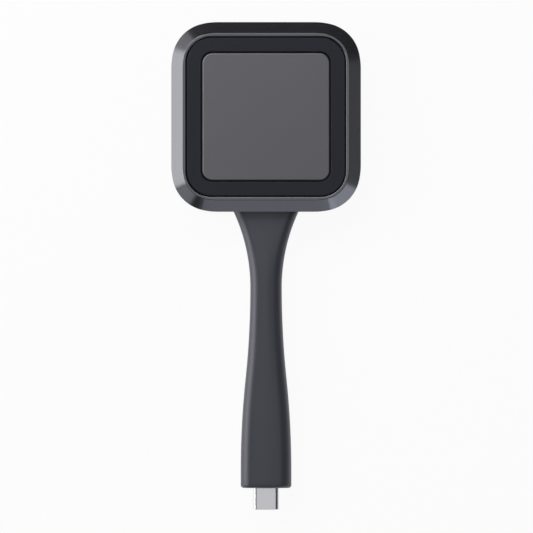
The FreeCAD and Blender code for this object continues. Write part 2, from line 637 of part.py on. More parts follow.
def bezel_frame():
    """The bevelled frame: lip, opening, well for the light ring, ledge, tongue and screw bosses."""
    body = new_body("bezel_frame")
    outline = sketch_at(body, "parting_level")
    add_head_outline(outline, "0")
    pad(body, outline, "head_height - parting_level")
    bevel = dress(body, "Chamfer", level_edges(body.Shape, "head_height"), "bevel_drop")
    bevel.ChamferType = "Two distances"
    bevel.setExpression("Size2", bound("bevel_width"))
    doc.recompute()
    dress(body, "Fillet", level_edges(body.Shape, "head_height"), "bevel_edge_radius")
    opening = sketch_at(body, "head_height")
    add_rounded(opening, LIP_SIDE, LIP_SIDE, "lip_corner")
    pocket(body, opening, "lip_thickness")
    dress(body, "Fillet", level_edges(body.Shape, "head_height", f"{LIP_SIDE} / 2"), "lip_edge_radius")
    well = sketch_at(body, LIP_LOW)
    add_rounded(well, WELL_SIDE, WELL_SIDE, WELL_CORNER)
    pocket(body, well, f"{LIP_LOW} - {DECK_TOP}")
    room = sketch_at(body, DECK_TOP)
    add_head_outline(room, "bezel_wall")
    pocket(body, room, f"{DECK_TOP} - parting_level")
    tongue = sketch_at(body, "parting_level - tongue_height")
    add_head_outline(tongue, "cover_wall + fit_gap")
    pad(body, tongue, f"{DECK_TOP} - parting_level + tongue_height")
    room_again = sketch_at(body, DECK_TOP)
    add_head_outline(room_again, "cover_wall + fit_gap + tongue_thickness")
    pocket(body, room_again, f"{DECK_TOP} - parting_level + tongue_height")
    tongue_gap = sketch_at(body, "parting_level")
    add_rounded(tongue_gap, "tongue_break", "2 * cover_wall", "small_corner", ("0", f"-({WALL_INSIDE})"))
    pocket(body, tongue_gap, "tongue_height")
    webs = sketch_at(body, "parting_level")
    web_place = f"({CASE_PLACE} + case_web_shift)"
    for x, y in CORNERS:
        add_circle(webs, (times(x, web_place), times(y, web_place)), "case_web")
    pad(body, webs, f"{DECK_TOP} - parting_level")
    nuts = sketch_at(body, CASE_SPLIT)
    for x, y in CORNERS:
        add_circle(nuts, (times(x, CASE_PLACE), times(y, CASE_PLACE)), "case_nut")
    pad(body, nuts, f"{DECK_TOP} - {CASE_SPLIT}")
    bores = sketch_at(body, DECK_TOP)
    for x, y in CORNERS:
        add_circle(bores, (times(x, CASE_PLACE), times(y, CASE_PLACE)), "case_screw_shank + fit_gap")
    pocket(body, bores, f"{DECK_TOP} - {CASE_SPLIT}")


def screw(label, shank, head, head_height, tip, seat, centre, head_up=False):
    """A screw with a round head and a six-sided drive; its head is below its seat unless head_up."""
    head_low = seat if head_up else f"({seat} - {head_height})"
    drive_low = f"({seat} + {head_height} - drive_depth)" if head_up else head_low
    stem_low = tip if head_up else seat
    stem_length = f"({seat} - {tip})" if head_up else f"({tip} - {seat})"
    stem = rod(label + "_stem", shank, stem_length, (*centre, stem_low))
    top = rod(label + "_head", head, head_height, (*centre, head_low))
    drive = doc.addObject("Part::Prism", label + "_drive")
    drive.Polygon = 6
    drive.setExpression("Circumradius", bound("drive_across / sqrt(3)"))
    drive.setExpression("Height", bound("drive_depth"))
    place(drive, *centre, drive_low)
    return cut(label, joined(label + "_blank", [stem, top]), drive)


def case_screws():
    """Four screws in the cover's counterbores that bite the bezel's bosses."""
    tip = f"({DECK_TOP} - case_screw_tip)"
    screws = []
    for index, (x, y) in enumerate(CORNERS, start=1):
        centre = (times(x, CASE_PLACE), times(y, CASE_PLACE))
        sizes = ("case_screw_shank", "case_screw_head", "case_screw_head_height")
        screws.append(screw(f"case_screw_{index}", *sizes, tip, CASE_SEAT, centre))
    group("case_screws", screws)


# Light ring, gasket and guide

def light_ring():
    """The smoked ring round the button, held under the lip by its flange."""
    body = new_body("light_ring")
    flange = sketch_at(body, RING_LOW)
    add_rounded(flange, RING_FLANGE, RING_FLANGE, RING_FLANGE_CORNER)
    pad(body, flange, "ring_flange_thickness")
    band = sketch_at(body, RING_LOW)
    add_rounded(band, RING_SIDE, RING_SIDE, RING_CORNER)
    pad(body, band, f"{SURFACE} - {RING_LOW}")
    hole = sketch_at(body, SURFACE)
    add_rounded(hole, RING_HOLE, RING_HOLE, "ring_inner_corner")
    pocket(body, hole, f"{SURFACE} - {RING_LOW}")
    dress(body, "Fillet", level_edges(body.Shape, SURFACE), "ring_edge_radius")


def ring_gasket():
    """A thin gasket between the light ring's flange and the lip."""
    body = new_body("ring_gasket")
    level = f"({LIP_LOW} - gasket_thickness)"
    outline = sketch_at(body, level)
    add_rounded(outline, RING_FLANGE, RING_FLANGE, RING_FLANGE_CORNER)
    pad(body, outline, "gasket_thickness")
    hole = sketch_at(body, LIP_LOW)
    inner = f"({RING_FLANGE} - 2 * gasket_width)"
    add_rounded(hole, inner, inner, f"{RING_FLANGE_CORNER} - gasket_width")
    pocket(body, hole, "gasket_thickness")


def light_guide():
    """The milky guide that spreads the emitters' light under the ring."""
    body = new_body("light_guide")
    outline = sketch_at(body, DECK_TOP)
    add_rounded(outline, GUIDE_SIDE, GUIDE_SIDE, "guide_corner")
    pad(body, outline, f"{RING_LOW} - {DECK_TOP}")
    hole = sketch_at(body, RING_LOW)
    inner = f"({GUIDE_SIDE} - 2 * guide_band)"
    add_rounded(hole, inner, inner, "guide_inner_corner")
    pocket(body, hole, f"{RING_LOW} - {DECK_TOP}")


# Inner frame

def light_places():
    """The eight emitters: two on each side of the board, as (x, y, lies along x)."""
    for side in (1, -1):
        for end in (1, -1):
            yield times(end, "light_spread"), times(side, LIGHT_PLACE), True
            yield times(side, LIGHT_PLACE), times(end, "light_spread"), False


def inner_frame():
    """The deck over the board, with spring cups, screw posts, light windows and a switch opening."""
    body = new_body("inner_frame")
    outline = sketch_at(body, DECK_LOW)
    add_head_outline(outline, "bezel_wall + frame_gap")
    pad(body, outline, "deck_thickness")
    cups = sketch_at(body, CUP_LOW)
    for x, y in CORNERS:
        add_circle(cups, (times(x, PIN_PLACE), times(y, PIN_PLACE)), "cup_inside + 2 * cup_wall")
    pad(body, cups, f"{DECK_TOP} - {CUP_LOW}")
    wells = sketch_at(body, DECK_TOP)
    for x, y in CORNERS:
        add_circle(wells, (times(x, PIN_PLACE), times(y, PIN_PLACE)), "cup_inside")
    pocket(body, wells, f"{DECK_TOP} - {CUP_FLOOR_TOP}")
    bores = sketch_at(body, CUP_FLOOR_TOP)
    for x, y in CORNERS:
        add_circle(bores, (times(x, PIN_PLACE), times(y, PIN_PLACE)), "pin_diameter + 2 * fit_gap")
    pocket(body, bores, "cup_floor")
    posts = sketch_at(body, BOARD_TOP)
    for x, y in CORNERS:
        add_circle(posts, (times(x, POST_X), times(y, POST_Y)), "post_diameter")
    pad(body, posts, "deck_standoff")
    pilots = sketch_at(body, DECK_TOP)
    for x, y in CORNERS:
        add_circle(pilots, (times(x, POST_X), times(y, POST_Y)), "board_screw_shank + fit_gap")
    pocket(body, pilots, f"{DECK_TOP} - {BOARD_TOP}")
    openings = sketch_at(body, DECK_TOP)
    switch_opening = "switch_side + 2 * switch_room"
    add_rounded(openings, switch_opening, switch_opening, "2 * small_corner")
    for x, y, along_x in light_places():
        width, depth = ("window_length", "window_width") if along_x else ("window_width", "window_length")
        add_rounded(openings, width, depth, "small_corner", (x, y))
    for x, y in CORNERS:
        add_circle(openings, (times(x, CASE_PLACE), times(y, CASE_PLACE)), "case_nut + 2 * notch_gap")
    pocket(body, openings, "deck_thickness")


# Button: cap, carrier, pusher and springs

def button_cap():
    """The square cap that a finger presses."""
    body = new_body("button_cap")
    outline = sketch_at(body, CAP_LOW)
    add_rounded(outline, BUTTON_SIDE, BUTTON_SIDE, "button_corner")
    pad(body, outline, "cap_thickness")
    dress(body, "Fillet", level_edges(body.Shape, SURFACE), "button_edge_radius")


def button_carrier():
    """The carrier under the cap: a slab, a flange that the light ring retains, and guide pins."""
    body = new_body("button_carrier")
    slab = sketch_at(body, CARRIER_LOW)
    side = f"({BUTTON_SIDE} - 2 * carrier_inset)"
    add_rounded(slab, side, side, "button_corner - carrier_inset")
    pad(body, slab, f"{CAP_LOW} - {CARRIER_LOW}")
    flange = sketch_at(body, CARRIER_LOW)
    add_rounded(flange, FLANGE_SIDE, FLANGE_SIDE, "flange_corner")
    pad(body, flange, "flange_thickness")
    pins = sketch_at(body, f"{CUP_LOW} + travel")
    for x, y in CORNERS:
        add_circle(pins, (times(x, PIN_PLACE), times(y, PIN_PLACE)), "pin_diameter")
    pad(body, pins, f"{CARRIER_LOW} - {CUP_LOW} - travel")


def button_pusher():
    """A soft disc under the carrier that meets the switch plunger."""
    low = f"({CARRIER_LOW} - pusher_thickness)"
    rod("button_pusher", "pusher_diameter", "pusher_thickness", ("0", "0", low))


def button_springs():
    """Four return springs in their cups, each the tube that its coils fill."""
    length = f"({CARRIER_LOW} - {CUP_FLOOR_TOP})"
    for index, (x, y) in enumerate(CORNERS, start=1):
        base = (times(x, PIN_PLACE), times(y, PIN_PLACE), CUP_FLOOR_TOP)
        outside = rod(f"spring_outside_{index}", "spring_outside", length, base)
        inside = rod(f"spring_inside_{index}", "spring_outside - 2 * spring_wire", length, base)
        cut(f"button_spring_{index}", outside, inside)


# Switch

def switch_housing():
    """The moulded housing with a round well."""
    shell = block("switch_block", "switch_side", "switch_side", "switch_height", ("0", "0"), BOARD_TOP)
    well_low = f"({BOARD_TOP} + switch_base)"
    well = rod("switch_well", "switch_bore", "switch_height", ("0", "0", well_low))
    cut("switch_housing", shell, well)


def switch_cover():
    """The thin cover that keeps the plunger in."""
    sides = ("switch_cover_side", "switch_cover_side", "switch_cover_thickness")
    plate = block("switch_plate", *sides, ("0", "0"), SWITCH_TOP)
    base = ("0", "0", SWITCH_TOP)
    hole = rod("switch_hole", "plunger_diameter + 2 * fit_gap", "switch_cover_thickness", base)
    cut("switch_cover", plate, hole)


def switch_dome():
    """A shallow snap dome on the floor of the well: a spherical cap of even thickness."""
    rise = size("dome_rise")
    reach = size("dome_diameter / 2")
    thickness = size("dome_thickness")
    radius = (reach ** 2 + rise ** 2) / (2 * rise)
    floor = size(f"{BOARD_TOP} + switch_base")
    hub = FreeCAD.Vector(0, 0, floor + rise - radius)
    outer = Part.makeSphere(radius, hub)
    inner = Part.makeSphere(radius - thickness, hub)
    space = Part.makeCylinder(reach, 2 * rise, FreeCAD.Vector(0, 0, floor))
    feature("switch_dome", outer.cut(inner).common(space))


def switch_plunger():
    """The plunger, whose collar stays under the cover."""
    stem_low = f"({COLLAR_LOW} - plunger_foot)"
    stem = rod("plunger_stem", "plunger_diameter", f"{PLUNGER_TOP} - {stem_low}", ("0", "0", stem_low))
    collar = rod("plunger_ring", "plunger_collar", "plunger_collar_height", ("0", "0", COLLAR_LOW))
    joined("switch_plunger", [stem, collar])


# Board and what is on it

def main_board():
    """The board, with a notch for the cable clamp and holes for its screws."""
    body = new_body("main_board")
    outline = sketch_at(body, BOARD_LOW)
    add_rounded(outline, f"2 * {BOARD_HALF}", f"2 * {BOARD_HALF}", "board_corner")
    pad(body, outline, "board_thickness")
    openings = sketch_at(body, BOARD_TOP)
    depth = f"({BOARD_HALF} - clamp_place + board_notch_reach + 2 * board_notch_corner)"
    middle = ("0", f"-(clamp_place - board_notch_reach + {depth} / 2)")
    add_rounded(openings, "board_notch_width", depth, "board_notch_corner", middle)
    for x, y in CORNERS:
        add_circle(openings, (times(x, POST_X), times(y, POST_Y)), "board_screw_shank + 4 * fit_gap")
    pocket(body, openings, "board_thickness")


def board_screws():
    """Four screws from below that hold the board to the inner frame's posts."""
    tip = f"({DECK_TOP} - 4 * fit_gap)"
    screws = []
    for index, (x, y) in enumerate(CORNERS, start=1):
        centre = (times(x, POST_X), times(y, POST_Y))
        sizes = ("board_screw_shank", "board_screw_head", "board_screw_head_height")
        screws.append(screw(f"board_screw_{index}", *sizes, tip, BOARD_LOW, centre))
    group("board_screws", screws)


def status_lights():
    """Eight light emitters under the windows of the deck."""
    emitters = []
    for index, (x, y, along_x) in enumerate(light_places(), start=1):
        width, depth = ("light_length", "light_width") if along_x else ("light_width", "light_length")
        emitters.append(block(f"light_{index}", width, depth, "light_height", (x, y), BOARD_TOP))
    group("status_lights", emitters)


def radio():
    """The radio module, its metal cover and two chip antennas at the far edge."""
    middle = ("0", f"({BOARD_HALF} - radio_inset - radio_depth / 2)")
    block("radio_module", "radio_width", "radio_depth", "radio_base", middle, BOARD_TOP)
    can_low = f"({BOARD_TOP} + radio_base)"
    width, depth = "(radio_width - 2 * radio_can_inset)", "(radio_depth - 2 * radio_can_inset)"
    outside = block("radio_can", width, depth, "radio_can_height", middle, can_low)
    inner_sides = (f"{width} - 2 * can_wall", f"{depth} - 2 * can_wall", "radio_can_height - can_wall")
    inside = block("radio_can_space", *inner_sides, middle, can_low)
    cut("radio_cover", outside, inside)
    antennas = []
    for index, x in enumerate((1, -1), start=1):
        place_x = times(x, "(antenna_length + antenna_gap) / 2")
        sides = ("antenna_length", "antenna_width", "antenna_height")
        middle = (place_x, f"({BOARD_HALF} - antenna_width)")
        antennas.append(block(f"antenna_{index}", *sides, middle, BOARD_TOP))
    group("chip_antennas", antennas)


def small_parts():
    """Supply chip, storage chip, coils, capacitors and crystal on the upper side of the board."""
    supply_middle = ("-supply_place_x", "supply_place_y")
    block("supply_chip", "supply_chip", "supply_chip", "supply_chip_height", supply_middle, BOARD_TOP)
    storage_sides = ("storage_chip_width", "storage_chip_depth", "storage_chip_height")
    block("storage_chip", *storage_sides, ("storage_place_x", "0"), BOARD_TOP)
    crystal_sides = ("crystal_width", "crystal_depth", "crystal_height")
    block("clock_crystal", *crystal_sides, ("crystal_place_x", "-crystal_place_y"), BOARD_TOP)
    coils = []
    for index, turn in enumerate((1, -1), start=1):
        middle = ("-coil_place", f"supply_place_y + {turn} * coil_spread")
        coils.append(block(f"coil_{index}", "coil_side", "coil_side", "coil_height", middle, BOARD_TOP))
    group("supply_coils", coils)
    capacitors = []
    sides = ("capacitor_width", "capacitor_length", "capacitor_width")
    for row, column in itertools.product(range(2), range(4)):
        middle = (f"({row} - 0.5) * capacitor_pitch_x - capacitor_place",
                  f"({column} - 1.5) * capacitor_pitch_y")
        capacitors.append(block(f"capacitor_{4 * row + column + 1}", *sides, middle, BOARD_TOP))
    group("capacitors", capacitors)


def underside():
    """The hot side: chips in a shield can, a thermal pad and a heat spreader on the cover's floor."""
    middle = ("0", "can_shift")
    can_low = f"({BOARD_LOW} - can_height)"
    outside = block("shield_can_block", "can_width", "can_depth", "can_height", middle, can_low)
    inner_sides = ("can_width - 2 * can_wall", "can_depth - 2 * can_wall", "can_height - can_wall")
    inside = block("shield_can_space", *inner_sides, middle, f"{can_low} + can_wall")
    cut("shield_can", outside, inside)
    chip_middle = ("-(chip_memory_width + chip_gap) / 2", "can_shift")
    chip_low = f"({BOARD_LOW} - chip_large_height)"
    block("system_chip", "chip_large", "chip_large", "chip_large_height", chip_middle, chip_low)
    memory_middle = ("(chip_large + chip_gap) / 2", "can_shift")
    memory_low = f"({BOARD_LOW} - chip_memory_height)"
    memory_sides = ("chip_memory_width", "chip_memory_depth", "chip_memory_height")
    block("memory_chip", *memory_sides, memory_middle, memory_low)
    pad_low = f"({can_low} - thermal_pad_thickness)"
    pad_sides = ("can_width - 2 * thermal_pad_inset", "can_depth - 2 * thermal_pad_inset")
    block("thermal_pad", *pad_sides, "thermal_pad_thickness", middle, pad_low)
    plate_sides = ("can_width + 2 * spreader_rim", "can_depth + 2 * spreader_rim")
    block("heat_spreader", *plate_sides, "spreader_thickness", middle, FLOOR_TOP)


# Cable entry inside the head

def cable_clamp():
    """A saddle over the cable with two ears, held by two screws."""
    ear_low = f"({FLOOR_TOP} + clamp_boss_height)"
    span = "(2 * clamp_span + clamp_ear)"
    ears = block("clamp_ears", span, "clamp_length", "clamp_ear_height", ("0", "-clamp_place"), ear_low)
    top = "(plug_level + cable_diameter / 2 + clamp_wall)"
    arch_width = "(cable_diameter + 2 * clamp_wall)"
    sides = (arch_width, "clamp_length", f"{top} - {ear_low}")
    arch = block("clamp_arch", *sides, ("0", "-clamp_place"), ear_low)
    start = ("0", "-(clamp_place - clamp_length / 2)", "plug_level")
    bore = rod("clamp_bore", "cable_diameter + fit_gap", "clamp_length", start, "towards plug")
    channel_low = f"({ear_low} - clamp_wall)"
    channel_sides = ("cable_diameter + fit_gap", "clamp_length", f"plug_level - {channel_low}")
    channel = block("clamp_channel", *channel_sides, ("0", "-clamp_place"), channel_low)
    holes = []
    for index, x in enumerate((1, -1), start=1):
        base = (times(x, "clamp_span"), "-clamp_place", ear_low)
        holes.append(rod(f"clamp_hole_{index}", "clamp_screw_shank + 2 * fit_gap", "clamp_ear_height", base))
    blank = joined("clamp_blank", [ears, arch])
    cut("cable_clamp", blank, joined("clamp_cuts", [bore, channel, *holes]))


def clamp_screws():
    """Two screws through the clamp's ears into the cover."""
    seat = f"({FLOOR_TOP} + clamp_boss_height + clamp_ear_height)"
    tip = f"({FLOOR_TOP} + 4 * fit_gap)"
    screws = []
    for index, x in enumerate((1, -1), start=1):
        centre = (times(x, "clamp_span"), "-clamp_place")
        sizes = ("clamp_screw_shank", "clamp_screw_head", "clamp_screw_head_height")
        screws.append(screw(f"clamp_screw_{index}", *sizes, tip, seat, centre, head_up=True))
    group("clamp_screws", screws)


def cable_connector():
    """The cable's connector and its socket on the board."""
    middle = ("0", "-(socket_place - socket_depth / 2)")
    outside = block("socket_block", "socket_width", "socket_depth", "socket_height", middle, BOARD_TOP)
    space_low = f"({BOARD_TOP} + socket_wall)"
    space_middle = ("0", "-(socket_place - socket_depth / 2 + socket_wall)")
    space_sides = ("socket_width - 2 * socket_wall", "socket_depth", "socket_height - 2 * socket_wall")
    cut("cable_socket", outside, block("socket_space", *space_sides, space_middle, space_low))
    plug_length = "(socket_depth - 2 * socket_wall + crimp_reach)"
    plug_sides = ("socket_width - 2 * socket_wall - 2 * fit_gap", plug_length,
                  "socket_height - 2 * socket_wall - 2 * fit_gap")
    plug_middle = ("0", f"-(socket_place + crimp_reach - {plug_length} / 2)")
    block("cable_connector", *plug_sides, plug_middle, f"{space_low} + fit_gap")


def cable_wires():
    """Six wires from the cable's end to the connector, each two equal arcs between straight ends."""
    start_y = -size("cable_free_end")
    end_y = -size("socket_place + crimp_reach")
    end_z = size(f"{BOARD_TOP} + socket_height / 2")
    lead = size("wire_lead")
    thickness = size("wire_diameter")
    along = FreeCAD.Vector(0, 1, 0)
    wires = []
    radii = []
    starts = []
    for index in range(WIRE_COUNT):
        angle = 2 * math.pi * (index + 0.5) / WIRE_COUNT
        ring = FreeCAD.Vector(-math.cos(angle), 0, math.sin(angle)) * size("wire_bundle")
        starts.append(FreeCAD.Vector(0, start_y, size("plug_level")) + ring)
    starts.sort(key=lambda start: (round(start.x, 3), start.z))
    for index, start in enumerate(starts):
        end = FreeCAD.Vector(size("wire_pitch") * (index - (WIRE_COUNT - 1) / 2), end_y, end_z)
        first = start + along * lead
        last = end - along * lead
        run = last.y - first.y
        shift = FreeCAD.Vector(last.x - first.x, 0, last.z - first.z)
        radius = (run ** 2 + shift.Length ** 2) / (4 * shift.Length)
        radii.append(radius)
        half_turn = math.asin(run / (2 * radius)) / 2
        side = FreeCAD.Vector(shift).normalize()
        middle = (first + last) / 2
        chord_along = along * (radius * math.sin(half_turn))
        chord_side = side * (radius * (1 - math.cos(half_turn)))
        path = Part.Wire([
            Part.makeLine(start, first),
            Part.Arc(first, first + chord_along + chord_side, middle).toShape(),
            Part.Arc(middle, last - chord_along - chord_side, last).toShape(),
            Part.makeLine(last, end),
        ])
        section = Part.Wire(Part.makeCircle(thickness / 2, start, along))
        wire = path.makePipeShell([section], True, False)
        expected = math.pi * thickness ** 2 / 4 * path.Length
        print(f"wire {index + 1}: radius {radius:.2f} mm, volume {wire.Volume:.3f} of {expected:.3f} mm3")
        wires.append(wire)
    print(f"tightest wire bend {min(radii) / thickness:.1f} diameters")
    feature("cable_wires", Part.makeCompound(wires))


# Neck

def neck_half_width(run):
    """Half the neck's width: a hollow arc to the waist, then an S of two equal arcs to the plug end."""
    waist = size("waist_place")
    narrow = size("waist_width / 2")
    wide = size("boot_width / 2")
    if run < waist:
        flare = size("flare_radius")
        return narrow + flare - math.sqrt(flare ** 2 - (waist - run) ** 2)
    swell = size("neck_length - boot_straight - waist_place")
    rise = wide - narrow
    radius = (swell ** 2 + rise ** 2) / (4 * rise)
    along = run - waist
    if along < swell / 2:
        return narrow + radius - math.sqrt(radius ** 2 - along ** 2)
    return wide - radius + math.sqrt(radius ** 2 - max(swell - along, 0) ** 2)


def eased(start, end, share):
    """A value that leaves one level and arrives at the other without a kink."""
    share = min(max(share, 0), 1)
    return start + (end - start) * (1 - math.cos(math.pi * share)) / 2


def neck_section(run):
    """The neck's outline at a run from the head's wall: flat faces and fully rounded sides."""
    waist = size("waist_place")
    swell = size("neck_length - boot_straight - waist_place")
    names = ("root", "waist") if run < waist else ("waist", "plug")
    share = run / waist if run < waist else (run - waist) / swell
    levels = {"root": "root_level", "waist": "waist_level", "plug": "plug_level"}
    depths = {"root": "root_thickness", "waist": "waist_thickness", "plug": "boot_thickness"}
    middle = eased(size(levels[names[0]]), size(levels[names[1]]), share)
    radius = eased(size(depths[names[0]]), size(depths[names[1]]), share) / 2
    flat = neck_half_width(run) - radius
    y = -size(HALF) - run

    def point(x, z):
        return FreeCAD.Vector(x, y, middle + z)

    def side(sign, first, last):
        bulge = radius / math.sqrt(2)
        inner = point(sign * (flat + bulge), bulge if first + last > 0 else -bulge)
        ends = {
            1: point(sign * flat, radius),
            0: point(sign * (flat + radius), 0),
            -1: point(sign * flat, -radius),
        }
        return Part.Arc(ends[first], inner, ends[last]).toShape()

    return Part.Wire([
        Part.makeLine(point(-flat, radius), point(flat, radius)),
        side(1, 1, 0),
        side(1, 0, -1),
        Part.makeLine(point(flat, -radius), point(-flat, -radius)),
        side(-1, -1, 0),
        side(-1, 0, 1),
    ])


def neck_span(first, last, steps):
    """A solid through evenly spaced outlines of the neck."""
    runs = [first + (last - first) * step / steps for step in range(steps + 1)]
    return Part.makeLoft([neck_section(run) for run in runs], True, False)


def cable_bore(first_y, last_y, extra):
    """The passage of the cable between two distances from the middle of the head."""
    radius = size("cable_diameter") / 2 + extra
    start = FreeCAD.Vector(0, -first_y, size("plug_level"))
    return Part.makeCylinder(radius, last_y - first_y, start, FreeCAD.Vector(0, -1, 0))


def neck_root():
    """The neck from its anchor plate inside the cover to the first bend."""
    inside = size(WALL_INSIDE)
    gap = size("fit_gap")
    bend = size("bend_head_place")
    margin = size("anchor_margin")
    outside = neck_span(0, bend, ROOT_STEPS)
    entry = Part.Face(neck_section(0)).extrude(FreeCAD.Vector(0, size("cover_wall") + gap, 0))
    low = size(FLOOR_TOP) + gap
    high = size("parting_level") - gap
    half = neck_half_width(0) + margin
    thickness = size("anchor_thickness")
    corner = FreeCAD.Vector(-half, -inside + gap, low)
    plate = Part.makeBox(2 * half, thickness, high - low, corner)
    upright = [edge for edge in plate.Edges if abs(edge.BoundBox.ZLength - (high - low)) < CLOSE]
    plate = plate.makeFillet(size("anchor_corner"), upright)
    bore = cable_bore(inside - thickness - 2 * gap, size(HALF) + bend, gap / 2)
    feature("neck_root", outside.fuse([entry, plate]).cut(bore).removeSplitter())


def neck_middle(label, first, last):
    """A stretch of the neck between two bends."""
    bore = cable_bore(size(HALF) + size(first), size(HALF) + size(last), size("fit_gap / 2"))
    feature(label, neck_span(size(first), size(last), BEND_STEPS).cut(bore))


def shell_slot(length, start_y, extra):
    """A long rounded bar of the plug shell's outline, from a distance towards the plug."""
    height = size("shell_height") + 2 * extra
    flat = (size("shell_width") + 2 * extra - height) / 2
    level = size("plug_level")
    radius = height / 2
    top_left = FreeCAD.Vector(-flat, -start_y, level + radius)
    top_right = FreeCAD.Vector(flat, -start_y, level + radius)
    low_right = FreeCAD.Vector(flat, -start_y, level - radius)
    low_left = FreeCAD.Vector(-flat, -start_y, level - radius)
    right = FreeCAD.Vector(flat + radius, -start_y, level)
    left = FreeCAD.Vector(-flat - radius, -start_y, level)
    outline = Part.Wire([
        Part.makeLine(top_left, top_right),
        Part.Arc(top_right, right, low_right).toShape(),
        Part.makeLine(low_right, low_left),
        Part.Arc(low_left, left, top_left).toShape(),
    ])
    return Part.Face(outline).extrude(FreeCAD.Vector(0, -length, 0))


def plug_boot():
    """The neck's plug end, moulded round the plug's shield and shell."""
    bend = size("bend_plug_place")
    straight = size("neck_length - boot_straight")
    swell = neck_span(bend, straight, SWELL_STEPS)
    end = Part.Face(neck_section(straight)).extrude(FreeCAD.Vector(0, -size("boot_straight"), 0))
    tip = -size(BOOT_END)
    rim = [edge for edge in end.Edges if edge.BoundBox.YMax < tip + CLOSE]
    end = end.makeFillet(size("boot_edge_radius"), rim)
    gap = size("fit_gap") / 2
    card_back = size(CARD_BACK)
    back = card_back - size("crimp_length")
    bore = cable_bore(size(HALF) + bend, card_back, gap)
    crimp = cable_bore(back, card_back, gap + size("crimp_wall"))
    width = size("shield_width") + 2 * gap
    height = size("shield_height") + 2 * gap
    shield_corner = FreeCAD.Vector(-width / 2, -size(SHELL_BACK) - 2 * gap, size("plug_level") - height / 2)
    shield = Part.makeBox(width, size("card_length") + 4 * gap, height, shield_corner)
    slot = shell_slot(size("shell_seat + slot_overrun"), size(SHELL_BACK), gap)
    feature("plug_boot", swell.fuse(end).cut([bore, crimp, shield, slot]).removeSplitter())


# Cable

def cable_length(label, first, last):
    """A stretch of the cable between two distances from the middle of the head."""
    rod(label, "cable_diameter", f"({last}) - ({first})", ("0", f"-({first})", "plug_level"), "towards plug")


def cable():
    """The cable from the connector's wires to the paddle card, parted at the bends."""
    bends = [f"({HALF} + {bend})" for bend in ("bend_head_place", "sway_place", "bend_plug_place")]
    cable_length("cable_root", "cable_free_end", bends[0])
    cable_length("cable_upper", bends[0], bends[1])
    cable_length("cable_lower", bends[1], bends[2])
    cable_length("cable_end", bends[2], CARD_BACK)


# Plug

def plug_shell():
    """The drawn shell that enters the socket."""
    length = size("shell_seat + shell_reach")
    outer = shell_slot(length, size(SHELL_BACK), 0)
    tip = -size(PLUG_END)
    rim = [edge for edge in outer.Edges if edge.BoundBox.YMax < tip + CLOSE]
    outer = outer.makeFillet(size("shell_wall") / 2, rim)
    inner = shell_slot(length, size(SHELL_BACK), -size("shell_wall"))
    feature("plug_shell", outer.cut(inner))


def contact_bars():
    """Two rows of twelve contacts on the cavity's upper and lower faces."""
    width = size("contact_width")
    thickness = size("contact_thickness")
    back = size(SHELL_BACK) - size("card_thickness")
    front = size(PLUG_END) - size("contact_recess")
    half_height = size("tongue_cavity_height") / 2
    bars = []
    for row in (1, -1):
        low = half_height - thickness if row > 0 else -half_height
        for column in range(CONTACTS_IN_ROW):
            middle = (column - (CONTACTS_IN_ROW - 1) / 2) * size("contact_pitch")
            corner = FreeCAD.Vector(middle - width / 2, -front, size("plug_level") + low)
            bars.append(Part.makeBox(width, front - back, thickness, corner))
    return bars


def latch_bars():
    """Two side latches in the cavity."""
    width = size("latch_width")
    thickness = size("latch_thickness")
    half = size("tongue_cavity_width") / 2
    front = size(PLUG_END) - size("contact_recess")
    back = size(SHELL_BACK)
    low = size("plug_level") - width / 2
    bars = []
    for left in (half - thickness, -half):
        bars.append(Part.makeBox(thickness, front - back, width, FreeCAD.Vector(left, -front, low)))
    return bars


def plug_insides():
    """Insulator, contacts and latches."""
    gap = size("fit_gap") / 2
    length = size("shell_seat + shell_reach - insulator_recess")
    blank = shell_slot(length, size(SHELL_BACK), -size("shell_wall") - gap)
    width = size("tongue_cavity_width")
    height = size("tongue_cavity_height")
    depth = size("tongue_cavity_depth")
    corner = FreeCAD.Vector(-width / 2, -size(PLUG_END), size("plug_level") - height / 2)
    cavity = Part.makeBox(width, depth, height, corner)
    contacts = contact_bars()
    latches = latch_bars()
    feature("plug_insulator", blank.cut([cavity, *contacts, *latches]))
    feature("plug_contacts", Part.makeCompound(contacts))
    feature("plug_latches", Part.makeCompound(latches))


def paddle_card():
    """The small board that joins the cable to the contacts, and its two chips."""
    middle_y = f"-({SHELL_BACK} - card_length / 2)"
    low = "(plug_level - card_thickness / 2)"
    inset = "(contact_thickness + fit_gap)"
    block("paddle_card", "card_width", f"card_length - 2 * {inset}", "card_thickness", ("0", middle_y), low)
    chip_sides = ("card_chip", "card_chip", "card_chip_height")
    upper = block("card_chip_upper", *chip_sides, ("0", middle_y), f"{low} + card_thickness")
    lower = block("card_chip_lower", *chip_sides, ("0", middle_y), f"{low} - card_chip_height")
    group("paddle_chips", [upper, lower])


def plug_shield():
    """The folded shield round the paddle card, open for the cable and the shell."""
    middle = ("0", f"-({SHELL_BACK} - card_length / 2)")
    low = "(plug_level - shield_height / 2)"
    sides = ("shield_width", "card_length", "shield_height")
    outside = block("shield_block", *sides, middle, low)
    inner_sides = [f"{side} - 2 * can_wall" for side in sides]
    inside = block("shield_space", *inner_sides, middle, f"{low} + can_wall")
    way = rod("shield_way", "cable_diameter + fit_gap", "card_length / 2",
              ("0", f"-({CARD_BACK})", "plug_level"), "towards plug")
    mouth_sides = ("card_width", "card_length / 2", "shell_height - 2 * shell_wall")
    mouth = block("shield_mouth", *mouth_sides, ("0", f"-({SHELL_BACK})"),
                  "plug_level - shell_height / 2 + shell_wall")
    cut("plug_shield", outside, joined("shield_openings", [inside, way, mouth]))


